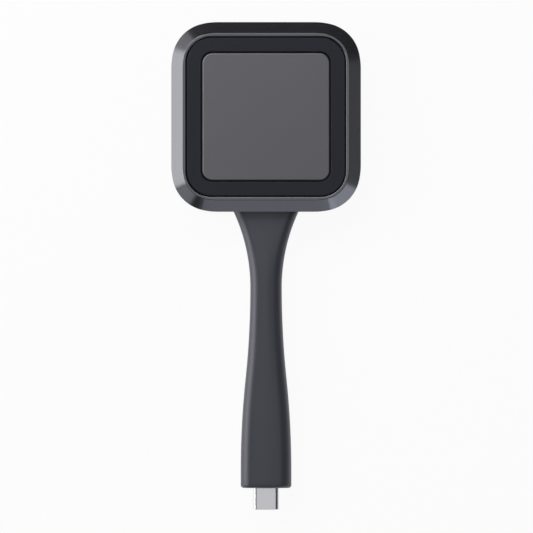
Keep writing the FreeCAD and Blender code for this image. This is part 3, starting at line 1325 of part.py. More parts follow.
def plug_crimp():
    """The ring that crimps the cable's braid to the shield."""
    start = ("0", f"-({CARD_BACK} - crimp_length)", "plug_level")
    outside = rod("crimp_outside", "cable_diameter + 2 * crimp_wall", "crimp_length", start, "towards plug")
    inside = rod("crimp_inside", "cable_diameter", "crimp_length", start, "towards plug")
    cut("plug_crimp", outside, inside)


for make in (
    rear_cover, foot_pad, bezel_frame, case_screws, light_ring, ring_gasket, light_guide, inner_frame,
    button_cap, button_carrier, button_pusher, button_springs, switch_housing, switch_cover, switch_dome,
    switch_plunger, main_board, board_screws, status_lights, radio, small_parts, underside, cable_clamp,
    clamp_screws, cable_connector, cable_wires, neck_root, plug_boot, cable, plug_shell, plug_insides,
    paddle_card, plug_shield, plug_crimp,
):
    make()
neck_middle("neck_upper", "bend_head_place", "sway_place")
neck_middle("neck_lower", "sway_place", "bend_plug_place")
doc.recompute()

# Every sub-part that stands for a node of its own
NODES = """
rear_cover foot_pad bezel_frame case_screws light_ring ring_gasket light_guide inner_frame
button_cap button_carrier button_pusher button_spring_1 button_spring_2 button_spring_3 button_spring_4
switch_housing switch_cover switch_dome switch_plunger main_board board_screws status_lights
radio_module radio_cover chip_antennas supply_chip storage_chip clock_crystal supply_coils capacitors
shield_can system_chip memory_chip thermal_pad heat_spreader cable_clamp clamp_screws cable_socket
cable_connector cable_wires neck_root neck_upper neck_lower plug_boot cable_root cable_upper cable_lower
cable_end plug_shell plug_insulator plug_contacts plug_latches paddle_card paddle_chips plug_shield
plug_crimp
""".split()

for item in doc.Objects:
    if {"Invalid", "Error"} & set(item.State):
        raise RuntimeError(f"{item.Name} failed: {item.State}")
os.makedirs("parts", exist_ok=True)
shapes = {name: doc.getObjectsByLabel(name)[0].Shape for name in NODES}
for name, shape in shapes.items():
    if shape.isNull() or not shape.isValid() or not shape.Solids:
        raise RuntimeError(f"{name} has no valid solid")
for name, shape in shapes.items():
    shape.exportStep(f"parts/{name}.step")
    box = shape.BoundBox
    ends = [f"{low:.2f} to {high:.2f}" for low, high in
            ((box.XMin, box.XMax), (box.YMin, box.YMax), (box.ZMin, box.ZMax))]
    print(f"{name}: {len(shape.Solids)} solid(s), {shape.Volume:.1f} mm3, " + ", ".join(ends))
print(f"{len(NODES)} nodes")
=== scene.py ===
# %% [markdown]
# # A wireless presentation dongle
#
# A square head with one large button hangs on a flexible moulded neck that ends in a
# reversible plug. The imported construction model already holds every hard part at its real
# size, so this lesson first lights those parts and gives each one its finish. It then models
# the parts that are soft or wound: the neck, the cable inside it, the button's springs, the
# foot pad, the gasket, the thermal pad and the soft pusher.

# %% Load the construction model
import math

import bmesh
import bpy
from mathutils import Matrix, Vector


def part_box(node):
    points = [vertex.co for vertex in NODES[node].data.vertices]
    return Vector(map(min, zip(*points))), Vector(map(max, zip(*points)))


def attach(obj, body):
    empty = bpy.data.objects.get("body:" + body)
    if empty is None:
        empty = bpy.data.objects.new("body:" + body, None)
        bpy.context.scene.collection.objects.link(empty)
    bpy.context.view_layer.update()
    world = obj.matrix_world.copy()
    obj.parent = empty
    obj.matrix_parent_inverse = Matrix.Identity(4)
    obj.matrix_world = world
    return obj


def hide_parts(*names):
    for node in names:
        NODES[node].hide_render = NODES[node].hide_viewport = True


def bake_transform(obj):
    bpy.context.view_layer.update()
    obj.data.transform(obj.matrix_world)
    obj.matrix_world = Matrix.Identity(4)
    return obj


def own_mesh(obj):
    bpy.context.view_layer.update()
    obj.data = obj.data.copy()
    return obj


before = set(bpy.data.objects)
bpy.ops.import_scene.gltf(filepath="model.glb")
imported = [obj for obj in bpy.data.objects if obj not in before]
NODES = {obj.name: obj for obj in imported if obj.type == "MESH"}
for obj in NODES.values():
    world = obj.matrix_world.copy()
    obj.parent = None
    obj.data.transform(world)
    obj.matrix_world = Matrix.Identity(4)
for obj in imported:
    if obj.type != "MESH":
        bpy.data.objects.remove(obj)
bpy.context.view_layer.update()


def mm(length):
    """A length in millimetres, in Blender's metres."""
    return length / 1000


# %% [markdown]
# ## The camera
#
# The photograph looks straight down on the button, with no visible perspective. A camera
# can be orthographic, or stand far away behind a long lens. The long lens is used, because
# it also suits the other views of the part. The head's width in the picture gives the scale.

# %% Place the camera above the table
PHOTO_SIDE = 533
HEAD_SIDE, HEAD_PIXELS = 60.0, 189.8
HEAD_MIDDLE_PIXEL = (266.05, 116.68)
LENS = 500.0
SENSOR = 36.0
FAR_CLIP = 20

head_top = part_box("bezel_frame")[1].z
pixel = mm(HEAD_SIDE) / HEAD_PIXELS
view_width = PHOTO_SIDE * pixel
aim_x = (PHOTO_SIDE / 2 - HEAD_MIDDLE_PIXEL[0]) * pixel
aim_y = (HEAD_MIDDLE_PIXEL[1] - PHOTO_SIDE / 2) * pixel
camera_height = head_top + view_width * LENS / SENSOR

bpy.ops.object.camera_add(location=(aim_x, aim_y, camera_height), rotation=(0, 0, 0))
camera = bpy.context.active_object
camera.name = "camera"
camera.data.lens = LENS
camera.data.sensor_width = SENSOR
camera.data.clip_end = FAR_CLIP
bpy.context.scene.camera = camera
print(f"a pixel is {pixel * 1000:.4f} mm, and the camera stands {camera_height:.2f} m up")


# %% [markdown]
# ## The table and the light
#
# The table is one large pale sheet. To the camera and in mirrors it glows almost white, and
# for the light on the object it is only a matt card. It lies a hair below the foot, so the
# two never share a plane. The light is a plain studio of broad, soft panels. Three
# stand at the left, at the far left corner and behind the head; they give most of the light
# and draw the bright side of the bevel and of the neck. A dim panel high above fills the
# flat faces. Weak, low ones stand all round, because the bevel slopes at about 40 degrees
# and shows from above whatever stands about 10 degrees over the table. The world adds only
# a faint, even fill. A small, strong lamp could give the same light, but every flat face
# would mirror it as a glare from one side, so each panel is wide and its level stays near
# that of a lit wall.

# %% Lay the table
TABLE_SIDE = 8.0
TABLE_DROP = 0.05
TABLE_GREY = (0.9, 0.9, 0.9, 1)
TABLE_GLOW = 0.94

bpy.ops.mesh.primitive_plane_add(size=TABLE_SIDE, location=(0, 0, -mm(TABLE_DROP)))
table = bpy.context.active_object
table.name = "table"
table_finish = bpy.data.materials.new("table_finish")
table_finish.use_nodes = True
tree = table_finish.node_tree
tree.nodes.clear()
path = tree.nodes.new("ShaderNodeLightPath")
seen = tree.nodes.new("ShaderNodeMath")
seen.operation = "MAXIMUM"
shown = tree.nodes.new("ShaderNodeMath")
shown.operation = "MAXIMUM"
amount = tree.nodes.new("ShaderNodeMath")
amount.operation = "MULTIPLY"
amount.inputs[1].default_value = TABLE_GLOW
matte = tree.nodes.new("ShaderNodeBsdfDiffuse")
matte.inputs["Color"].default_value = TABLE_GREY
glow = tree.nodes.new("ShaderNodeEmission")
glow.inputs["Strength"].default_value = 1.0
mixed = tree.nodes.new("ShaderNodeMixShader")
output = tree.nodes.new("ShaderNodeOutputMaterial")
tree.links.new(path.outputs["Is Camera Ray"], seen.inputs[0])
tree.links.new(path.outputs["Is Glossy Ray"], seen.inputs[1])
tree.links.new(seen.outputs[0], shown.inputs[0])
tree.links.new(path.outputs["Is Transmission Ray"], shown.inputs[1])
tree.links.new(shown.outputs[0], amount.inputs[0])
tree.links.new(amount.outputs[0], mixed.inputs["Fac"])
tree.links.new(matte.outputs[0], mixed.inputs[1])
tree.links.new(glow.outputs[0], mixed.inputs[2])
tree.links.new(mixed.outputs[0], output.inputs["Surface"])
table.data.materials.append(table_finish)
print("table", TABLE_SIDE, "m wide")

# %% Hang the lamps
AIM = Vector((0, 0, 0.01))


def soft_panel(name, side, elevation, level, wide=30, high=18, tint=(1, 1, 1), distance=0.55):
    """A panel that faces the head; side, elevation, wide and high are angles seen from it."""
    angle, rise = math.radians(side), math.radians(elevation)
    flat = math.cos(rise)
    away = Vector((math.cos(angle) * flat, math.sin(angle) * flat, math.sin(rise)))
    bpy.ops.object.light_add(type="AREA", location=AIM + away * distance)
    lamp = bpy.context.active_object
    lamp.name = name
    lamp.data.shape = "RECTANGLE"
    lamp.data.size = 2 * distance * math.tan(math.radians(wide / 2))
    lamp.data.size_y = 2 * distance * math.tan(math.radians(high / 2))
    lamp.data.energy = level * math.pi * lamp.data.size * lamp.data.size_y
    lamp.data.color = tint
    lamp.rotation_mode = "QUATERNION"
    lamp.rotation_quaternion = away.to_track_quat("Z", "Y")
    lamp.visible_camera = False
    print(f"{name}: {lamp.data.energy:.2f} W")


WARM, COOL = (1.0, 0.985, 0.95), (0.94, 0.96, 1.0)
soft_panel("panel_left", 181, 21, 2.75, 46, 39, WARM)
soft_panel("panel_corner", 134, 39, 3.0, 38, 32)
soft_panel("panel_behind", 95, 43, 3.2, 32, 26)
soft_panel("panel_far_left", 143, 10, 0.85, 30, 16, WARM)
soft_panel("panel_front_left", 222, 10, 0.78, 27)
soft_panel("panel_front", 273, 10, 0.66, 40, 18, COOL)
soft_panel("panel_front_right", 311, 10, 1.35, 46, 18, COOL)
soft_panel("panel_right", 350, 10, 0.22, 40)
soft_panel("panel_overhead", 0, 90, 0.72, 28, 28, (1, 1, 1), 1.6)

# %% Light the world a little
WORLD_LEVEL = 0.05
world = bpy.data.worlds.new("studio")
bpy.context.scene.world = world
world.use_nodes = True
world.node_tree.nodes["Background"].inputs["Color"].default_value = (1, 1, 1, 1)
world.node_tree.nodes["Background"].inputs["Strength"].default_value = WORLD_LEVEL
bpy.context.scene.view_settings.view_transform = "Standard"
print("world", WORLD_LEVEL)


# %% [markdown]
# ## Shared effects
#
# No real surface is one flat colour. Blasted metal has a fine tooth, moulded plastic is a
# little cloudy, drawn steel shows lines along the draw, foam is full of small cells and a
# circuit board shows its glass weave. Each of these is built once as a shader group, with
# its amounts as inputs, and is then placed in every finish that needs it. A group puts out
# only colours, roughness and heights. All patterns are read from Object coordinates, which
# are the real lengths of the piece, so one scale means the same everywhere.

# %% Make an empty shader group
def new_group(name, inputs, outputs):
    """A shader group with named sockets, and its input and output nodes."""
    group = bpy.data.node_groups.new(name, "ShaderNodeTree")
    for label, kind, start in inputs:
        socket = group.interface.new_socket(label, in_out="INPUT", socket_type=kind)
        socket.default_value = start
    for label, kind in outputs:
        group.interface.new_socket(label, in_out="OUTPUT", socket_type=kind)
    return group, group.nodes.new("NodeGroupInput"), group.nodes.new("NodeGroupOutput")


COLOUR, NUMBER, VECTOR = "NodeSocketColor", "NodeSocketFloat", "NodeSocketVector"
OUTPUTS = (("Colour", COLOUR), ("Roughness", NUMBER), ("Height", NUMBER))


# %% Sums, noise and shading inside a group
def calculate(group, operation, first, second):
    """A sum, product or the like of two sockets or numbers."""
    node = group.nodes.new("ShaderNodeMath")
    node.operation = operation
    for socket, value in zip(node.inputs, (first, second)):
        if isinstance(value, (int, float)):
            socket.default_value = value
        else:
            group.links.new(value, socket)
    return node.outputs[0]


def noise(group, place, scale, detail):
    """Soft noise, centred on nought, at a scale that is a socket or a number."""
    node = group.nodes.new("ShaderNodeTexNoise")
    node.inputs["Detail"].default_value = detail
    node.inputs["Roughness"].default_value = 0.6
    group.links.new(place, node.inputs["Vector"])
    if isinstance(scale, (int, float)):
        node.inputs["Scale"].default_value = scale
    else:
        group.links.new(scale, node.inputs["Scale"])
    return calculate(group, "SUBTRACT", node.outputs["Fac"], 0.5)


def shaded(group, colour, change):
    """The colour made lighter or darker by a share."""
    node = group.nodes.new("ShaderNodeVectorMath")
    node.operation = "SCALE"
    group.links.new(colour, node.inputs[0])
    group.links.new(calculate(group, "ADD", change, 1.0), node.inputs["Scale"])
    return node.outputs[0]


# %% Group: fine grain with a faint cloud
CLOUD_SCALE, CLOUD_DETAIL, TOOTH_DETAIL = 90.0, 3.0, 2.0


def build_fine_grain():
    """Small tooth over a broad, faint cloud, for blasted metal, moulded plastic and rubber."""
    inputs = (("Colour", COLOUR, (0.2, 0.2, 0.2, 1)), ("Scale", NUMBER, 4000.0),
              ("Mottle", NUMBER, 0.05), ("Cloud", NUMBER, 0.05), ("Roughness", NUMBER, 0.5),
              ("Spread", NUMBER, 0.05))
    group, start, end = new_group("fine_grain", inputs, OUTPUTS)
    place = group.nodes.new("ShaderNodeTexCoord").outputs["Object"]
    tooth = noise(group, place, start.outputs["Scale"], TOOTH_DETAIL)
    cloud = noise(group, place, CLOUD_SCALE, CLOUD_DETAIL)
    small = calculate(group, "MULTIPLY", tooth, start.outputs["Mottle"])
    broad = calculate(group, "MULTIPLY", cloud, start.outputs["Cloud"])
    change = calculate(group, "ADD", small, broad)
    group.links.new(shaded(group, start.outputs["Colour"], change), end.inputs["Colour"])
    rub = calculate(group, "ADD", calculate(group, "MULTIPLY", tooth, 0.6), cloud)
    spread = calculate(group, "MULTIPLY", rub, start.outputs["Spread"])
    rough = calculate(group, "ADD", start.outputs["Roughness"], spread)
    group.links.new(rough, end.inputs["Roughness"])
    group.links.new(tooth, end.inputs["Height"])
    return group


fine_grain = build_fine_grain()
print(fine_grain.name, len(fine_grain.nodes), "nodes")


# %% Group: lines along the draw or the brush
def build_drawn_lines():
    """Noise that is pulled long in one direction, for drawn, rolled and brushed metal."""
    inputs = (("Colour", COLOUR, (0.6, 0.6, 0.6, 1)), ("Pull", VECTOR, (9000.0, 250.0, 9000.0)),
              ("Contrast", NUMBER, 0.1), ("Roughness", NUMBER, 0.3), ("Spread", NUMBER, 0.1))
    group, start, end = new_group("drawn_lines", inputs, OUTPUTS)
    place = group.nodes.new("ShaderNodeTexCoord").outputs["Object"]
    pulled = group.nodes.new("ShaderNodeVectorMath")
    pulled.operation = "MULTIPLY"
    group.links.new(place, pulled.inputs[0])
    group.links.new(start.outputs["Pull"], pulled.inputs[1])
    lines = noise(group, pulled.outputs[0], 1.0, 3.0)
    change = calculate(group, "MULTIPLY", lines, start.outputs["Contrast"])
    group.links.new(shaded(group, start.outputs["Colour"], change), end.inputs["Colour"])
    spread = calculate(group, "MULTIPLY", lines, start.outputs["Spread"])
    rough = calculate(group, "ADD", start.outputs["Roughness"], spread)
    group.links.new(rough, end.inputs["Roughness"])
    group.links.new(lines, end.inputs["Height"])
    return group


drawn_lines = build_drawn_lines()
print(drawn_lines.name, len(drawn_lines.nodes), "nodes")


# %% Group: small cells, with painted shade in their hollows
def build_cells():
    """Round cells with walls between them, for foam, ceramic grain and filled pads; the hollows get
    painted shade.
    """
    inputs = (("Colour", COLOUR, (0.2, 0.2, 0.2, 1)), ("Scale", NUMBER, 3000.0),
              ("Depth", NUMBER, 0.3), ("Roughness", NUMBER, 0.8), ("Spread", NUMBER, 0.1))
    group, start, end = new_group("small_cells", inputs, OUTPUTS)
    place = group.nodes.new("ShaderNodeTexCoord").outputs["Object"]
    cells = group.nodes.new("ShaderNodeTexVoronoi")
    group.links.new(place, cells.inputs["Vector"])
    group.links.new(start.outputs["Scale"], cells.inputs["Scale"])
    dip = calculate(group, "SUBTRACT", cells.outputs["Distance"], 0.5)
    # painted shade: the colour darkens towards each cell's sunken middle, where the bump is lowest
    change = calculate(group, "MULTIPLY", dip, start.outputs["Depth"])
    group.links.new(shaded(group, start.outputs["Colour"], change), end.inputs["Colour"])
    spread = calculate(group, "MULTIPLY", dip, start.outputs["Spread"])
    rough = calculate(group, "ADD", start.outputs["Roughness"], spread)
    group.links.new(rough, end.inputs["Roughness"])
    group.links.new(dip, end.inputs["Height"])
    return group


small_cells = build_cells()
print(small_cells.name, len(small_cells.nodes), "nodes")


# %% Group: a board's weave and printed tracks
def build_board_print():
    """Glass weave under a lacquer, with tracks that show lighter through it."""
    inputs = (("Lacquer", COLOUR, (0.01, 0.06, 0.03, 1)), ("Track", COLOUR, (0.03, 0.13, 0.06, 1)),
              ("Weave", NUMBER, 0.15), ("Roughness", NUMBER, 0.35))
    group, start, end = new_group("board_print", inputs, OUTPUTS)
    place = group.nodes.new("ShaderNodeTexCoord").outputs["Object"]
    tracks = group.nodes.new("ShaderNodeTexBrick")
    tracks.inputs["Scale"].default_value = 420.0
    tracks.inputs["Mortar Size"].default_value = 0.035
    tracks.inputs["Brick Width"].default_value = 1.6
    tracks.inputs["Row Height"].default_value = 0.32
    tracks.inputs["Mortar Smooth"].default_value = 0.2
    group.links.new(place, tracks.inputs["Vector"])
    mixed = group.nodes.new("ShaderNodeMix")
    mixed.data_type = "RGBA"
    group.links.new(tracks.outputs["Fac"], mixed.inputs["Factor"])
    group.links.new(start.outputs["Lacquer"], mixed.inputs[6])
    group.links.new(start.outputs["Track"], mixed.inputs[7])
    across = group.nodes.new("ShaderNodeTexWave")
    along = group.nodes.new("ShaderNodeTexWave")
    across.bands_direction, along.bands_direction = "X", "Y"
    for wave in (across, along):
        wave.inputs["Scale"].default_value = 650.0
        wave.inputs["Distortion"].default_value = 0.6
        group.links.new(place, wave.inputs["Vector"])
    crossing = calculate(group, "SUBTRACT", across.outputs["Fac"], along.outputs["Fac"])
    change = calculate(group, "MULTIPLY", crossing, start.outputs["Weave"])
    group.links.new(shaded(group, mixed.outputs[2], change), end.inputs["Colour"])
    dull = calculate(group, "MULTIPLY", crossing, 0.05)
    rough = calculate(group, "ADD", start.outputs["Roughness"], dull)
    group.links.new(rough, end.inputs["Roughness"])
    woven = calculate(group, "MULTIPLY", crossing, 0.15)
    raised = calculate(group, "ADD", woven, tracks.outputs["Fac"])
    group.links.new(raised, end.inputs["Height"])
    return group


board_print = build_board_print()
print(board_print.name, len(board_print.nodes), "nodes")


# %% [markdown]
# ## Finishes
#
# A finish is one Principled shader whose colour, roughness and bump come from a group. What
# is the same all over, such as metallic, coat or the specular level, is set on the shader
# itself. The finishes are kept in one table by the name of the material slot that the
# construction model uses, so that every piece finds its own. Only the button, which shares
# its slot with the bezel, is given a finish by its own name.

# %% Make a finish from a group
FINISHES = {}


def linear(red, green, blue):
    """A colour from 8-bit screen values, as the renderer counts it."""
    def channel(value):
        share = value / 255
        return share / 12.92 if share <= 0.04045 else ((share + 0.055) / 1.055) ** 2.4

    return channel(red), channel(green), channel(blue), 1.0


def finish(name, group, depth, metallic=0.0, level=0.5, coat=0.0, coat_roughness=0.1, **amounts):
    """Makes a material from a group and hands back its shader; depth is the bump in mm."""
    material = bpy.data.materials.new(name + "_finish")
    material.use_nodes = True
    nodes, links = material.node_tree.nodes, material.node_tree.links
    shader = nodes["Principled BSDF"]
    shader.inputs["Metallic"].default_value = metallic
    shader.inputs["Specular IOR Level"].default_value = level
    shader.inputs["Coat Weight"].default_value = coat
    shader.inputs["Coat Roughness"].default_value = coat_roughness
    effect = nodes.new("ShaderNodeGroup")
    effect.node_tree = group
    for label, value in amounts.items():
        effect.inputs[label].default_value = value
    bump = nodes.new("ShaderNodeBump")
    bump.inputs["Strength"].default_value = 1.0
    bump.inputs["Distance"].default_value = mm(depth)
    links.new(effect.outputs["Colour"], shader.inputs["Base Color"])
    links.new(effect.outputs["Roughness"], shader.inputs["Roughness"])
    links.new(effect.outputs["Height"], bump.inputs["Height"])
    links.new(bump.outputs["Normal"], shader.inputs["Normal"])
    FINISHES[name] = material
    return shader


# %% [markdown]
# ### The graphite metal of the bezel and the button
#
# Both are aluminium, blasted with fine beads and dyed grey. Each flat face shows one even
# tone, the tone of whatever it mirrors, so the finish is a full metal and only a faint
# tooth and a fainter cloud break it up. The bezel is skimmed by a cutter afterwards and
# mirrors more sharply. The button keeps its blasted, finger-proof skin, which is far
# rougher: it spreads a low lamp over the whole face instead of showing its picture.

# %% Graphite metal
finish("graphite_metal", fine_grain, 0.0006, metallic=1.0, Colour=linear(110, 111, 117),
       Scale=7000.0, Mottle=0.14, Cloud=0.03, Roughness=0.22, Spread=0.03)
finish("blasted_metal", fine_grain, 0.0006, metallic=1.0, Colour=linear(130, 130, 137),
       Scale=7000.0, Mottle=0.14, Cloud=0.03, Roughness=0.5, Spread=0.03)
print("graphite metal", FINISHES["graphite_metal"].name, FINISHES["blasted_metal"].name)

# %% [markdown]
# ### The soft rubber of the neck
#
# The neck is moulded over its cable in a thermoplastic rubber with a dry, satin skin. A
# broad cloud in the roughness keeps the long sides from looking machined, and the tooth is
# finer than the rubber's own highlights. Such a skin also has a faint, cool sheen, which
# lights the round side that turns towards the lamps and leaves the flat face dark.

# %% Neck rubber
rubber_shader = finish("neck_rubber", fine_grain, 0.003, level=0.8, Colour=linear(68, 69, 78),
                       Scale=3800.0, Mottle=0.12, Cloud=0.06, Roughness=0.38, Spread=0.10)
rubber_shader.inputs["Sheen Weight"].default_value = 0.6
rubber_shader.inputs["Sheen Roughness"].default_value = 0.3
rubber_shader.inputs["Sheen Tint"].default_value = (0.86, 0.86, 1, 1)
rubber_shader.inputs["Specular Tint"].default_value = (0.9, 0.9, 1, 1)
print("neck rubber", FINISHES["neck_rubber"].name)

# %% [markdown]
# ### The smoked light ring
#
# The band round the button is a dark, see-through plastic that hides the lights until they
# shine. Switched off, it is an almost black body under a satin skin, a little bluer than
# the metal. The colour sits deep, so the ring gets a thin clear coat.

# %% Smoked plastic
finish("smoked_plastic", fine_grain, 0.0008, level=0.46, coat=0.1, Colour=linear(17, 19, 36),
       Scale=5200.0, Mottle=0.06, Cloud=0.05, Roughness=0.42, Spread=0.04)
print("smoked plastic", FINISHES["smoked_plastic"].name)

# %% [markdown]
# ### The plug's steel
#
# The shell that enters the socket is drawn from sheet and left satin, so its lines run the
# way it was drawn, towards the tip. The noise is pulled long along Y.

# %% Plug steel
finish("plug_steel", drawn_lines, 0.0012, metallic=1.0, Colour=linear(229, 229, 234),
       Pull=(7000.0, 420.0, 7000.0), Contrast=0.12, Roughness=0.24, Spread=0.1)
print("plug steel", FINISHES["plug_steel"].name)

# %% [markdown]
# ### Moulded plastics
#
# The cover on the back is moulded in a spark-eroded tool, which leaves an even, matt
# stipple. The inner mouldings are plainer. They differ in colour, tooth and gloss, so they
# share one group and one short table.

# %% Moulded plastics
MOULDED = {
    "cover_plastic": (linear(52, 53, 58), 2600.0, 0.10, 0.55, 0.010),
    "inner_plastic": (linear(36, 36, 40), 3400.0, 0.08, 0.48, 0.004),
    "plunger_plastic": (linear(205, 203, 196), 4200.0, 0.04, 0.4, 0.002),
    "socket_white": (linear(226, 222, 208), 4200.0, 0.04, 0.38, 0.002),
    "milky_plastic": (linear(232, 234, 236), 3000.0, 0.03, 0.35, 0.001),
    "wire_jacket": (linear(150, 32, 30), 5200.0, 0.06, 0.4, 0.002),
    "cable_jacket": (linear(30, 30, 33), 3600.0, 0.10, 0.5, 0.004),
    "foot_rubber": (linear(40, 40, 43), 2900.0, 0.14, 0.7, 0.012),
}
for name, (colour, scale, mottle, roughness, depth) in MOULDED.items():
    finish(name, fine_grain, depth, Colour=colour, Scale=scale, Mottle=mottle, Cloud=0.06,
           Roughness=roughness, Spread=0.1)
guide_shader = FINISHES["milky_plastic"].node_tree.nodes["Principled BSDF"]
guide_shader.inputs["Subsurface Weight"].default_value = 0.2
guide_shader.inputs["Subsurface Radius"].default_value = (0.002, 0.002, 0.002)
print("moulded plastics", len(MOULDED))

# %% [markdown]
# ### Plated, rolled and turned metals
#
# Screws are turned and plated, springs are drawn wire, shields are rolled tin plate and the
# spreader is a rolled aluminium sheet. Each is a full metal whose lines run the way it was
# worked: round the axis for a screw, along the sheet for the rest.

# %% Metals
METALS = {
    "screw_steel": (linear(150, 150, 154), (5000.0, 5000.0, 900.0), 0.2, 0.32, 0.0015),
    "spring_steel": (linear(190, 190, 194), (4000.0, 4000.0, 4000.0), 0.12, 0.25, 0.0008),
    "shield_tin": (linear(205, 206, 208), (5200.0, 600.0, 5200.0), 0.12, 0.34, 0.0012),
    "spreader_metal": (linear(196, 198, 202), (700.0, 5600.0, 5600.0), 0.16, 0.38, 0.0016),
    "contact_gold": (linear(226, 188, 96), (6400.0, 500.0, 6400.0), 0.10, 0.24, 0.0006),
}
for name, (colour, pull, contrast, roughness, depth) in METALS.items():
    finish(name, drawn_lines, depth, metallic=1.0, Colour=colour, Pull=pull, Contrast=contrast,
           Roughness=roughness, Spread=0.12)
print("metals", len(METALS))

# %% [markdown]
# ### What sits on the board
#
# Chips are black filled resin, the small capacitors and antennas are fired ceramic, the
# lights are a yellowish phosphor, and the thermal pad and the gasket are soft and full of
# small cells or grains. Their cell pattern also paints shade into each cell's hollow. The
# board itself shows its weave and its tracks.

# %% Board, chips, ceramics, pads
# columns: colour, scale, painted shade in the cell hollows, roughness, bump depth in mm
CELLED = {
    "chip_black": (linear(30, 30, 32), 6500.0, 0.25, 0.5, 0.002),
    "ceramic": (linear(196, 178, 150), 5200.0, 0.14, 0.42, 0.002),
    "emitter_white": (linear(236, 226, 150), 5600.0, 0.10, 0.4, 0.002),
    "thermal_grey": (linear(140, 146, 152), 2600.0, 0.18, 0.75, 0.010),
    "gasket_foam": (linear(26, 26, 28), 3600.0, 0.5, 0.9, 0.03),
}
for name, (colour, scale, shade, roughness, depth) in CELLED.items():
    finish(name, small_cells, depth, Colour=colour, Scale=scale, Depth=shade,
           Roughness=roughness, Spread=0.1)
finish("board_laminate", board_print, 0.006, Lacquer=linear(14, 62, 44), Track=linear(34, 92, 66),
       Weave=0.15, Roughness=0.35)
print("finishes", len(FINISHES))


# %% Give every construction piece its finish
BUTTON = "button_cap"
dressed = 0
for name, node in NODES.items():
    for holder in node.material_slots:
        slot = holder.material.name.split(".")[0]
        holder.material = FINISHES["blasted_metal" if name == BUTTON else slot]
        dressed += 1
print("slots dressed", dressed)


# %% [markdown]
# ## Modelling helpers
#
# The soft and wound pieces are modelled the way a person would do it by hand: a primitive
# is added, then shaped in edit mode. An edit operator works on whatever is selected, so the
# helpers below clear the selection first and then pick edges or faces by where they are.

# %% Start, select and pick
UPRIGHT = (math.pi / 2, 0, 0)
NEAR, HAIR = 0.01, 0.001        # two margins in millimetres, for tests of place


def begin(name):
    """Names the new primitive, makes its place part of its mesh and enters edit mode."""
    piece = bpy.context.active_object
    piece.name = name
    bpy.ops.object.transform_apply(location=True, rotation=True, scale=True)
    bpy.ops.object.mode_set(mode="EDIT")
    bpy.ops.mesh.select_all(action="SELECT")
    return piece


def clear():
    """Leaves nothing selected."""
    bpy.ops.object.select_all(action="DESELECT")


def take(piece):
    """Makes a piece the active one and the only one selected."""
    clear()
    bpy.context.view_layer.objects.active = piece
    piece.select_set(True)


def pick(piece, kind, test):
    """Selects only the edges or faces that pass a test."""
    modes = {"edges": "EDGE", "faces": "FACE"}
    bpy.ops.mesh.select_mode(type=modes[kind])
    bpy.ops.mesh.select_all(action="DESELECT")
    mesh = bmesh.from_edit_mesh(piece.data)
    for item in [item for item in getattr(mesh, kind) if test(item)]:
        item.select_set(True)
    mesh.select_flush_mode()
    bmesh.update_edit_mesh(piece.data)


def level_of(item, axis):
    """The middle of an edge or a face along an axis, in millimetres."""
    return sum(point.co[axis] for point in item.verts) / len(item.verts) * 1000


# %% Finish a piece, join or cut it, draw an outline
def finished(piece, slot, smooth=35.0):
    """Closes the edit: normals outwards, smooth shading, the slot's finish."""
    bpy.ops.mesh.select_all(action="SELECT")
    bpy.ops.mesh.normals_make_consistent(inside=False)
    bpy.ops.object.mode_set(mode="OBJECT")
    bpy.ops.object.shade_smooth_by_angle(angle=math.radians(smooth))
    piece.data.materials.clear()
    piece.data.materials.append(FINISHES[slot])
    print(f"{piece.name}: {len(piece.data.polygons)} faces")
    return piece


def combine(piece, tool, how):
    """Joins a tool to the piece or cuts it away, then removes the tool."""
    take(piece)
    bpy.ops.object.modifier_add(type="BOOLEAN")
    modifier = piece.modifiers[-1]
    modifier.operation = how
    modifier.solver = "EXACT"
    modifier.object = tool
    bpy.ops.object.modifier_apply(modifier=modifier.name)
    bpy.data.objects.remove(tool)


def upright_outline(name, y, level, half_width, half_height, side):
    """A rounded outline that stands across the neck: flat above and below, round at its sides."""
    clear()
    centre = (0, mm(y), mm(level))
    bpy.ops.mesh.primitive_plane_add(size=mm(2), location=centre, rotation=UPRIGHT)
    piece = begin(name)
    halves = (half_height + half_width - side, 1, half_height)
    bpy.ops.transform.resize(value=halves, center_override=centre)
    bpy.ops.mesh.bevel(offset=mm(half_height), segments=12, profile=0.5, affect="VERTICES")
    bpy.ops.mesh.remove_doubles(threshold=mm(NEAR))
    return piece


# %% [markdown]
# ## The neck
#
# The neck is one flexible moulding that carries the cable from the head to the plug. It is
# wide where it leaves the head, narrows to a waist, and swells again round the plug. It
# could be a lofted curve or a sculpted box. Here it is drawn ring by ring, because the
# width, the thickness and the level each follow their own law along the neck: a hollow arc
# to the waist for the width, then an S of two equal arcs, and slow eases for the rest. Its
# section is flat above and below and round at the sides, and a faint crown thins it
# towards the sides, so its flat face is never one dead tone.

# %% The laws of the neck
WALL = 30.0
WAIST, SWELL_END, NECK_END = 24.0, 82.0, 87.6
NARROW, WIDE, FLARE = 5.0, 8.05, 57.0
LEVELS = (5.1, 5.6, 5.4)
THICKNESSES = (5.6, 6.0, 7.0)
SIDES = (3.0, 3.3, 3.8)
CROWN = 0.10
ROOT_RUN, LAST_RING = -1.9, 85
FLAT_CUTS = 9
END_ROUND = 0.95


def half_width(run):
    """Half the neck's width at a run from the head's wall."""
    if run < WAIST:
        return NARROW + FLARE - math.sqrt(FLARE ** 2 - (WAIST - max(run, 0)) ** 2)
    swell, rise = SWELL_END - WAIST, WIDE - NARROW
    radius = (swell ** 2 + rise ** 2) / (4 * rise)
    along = run - WAIST
    if along < swell / 2:
        return NARROW + radius - math.sqrt(radius ** 2 - along ** 2)
    return WIDE - radius + math.sqrt(radius ** 2 - max(swell - along, 0) ** 2)


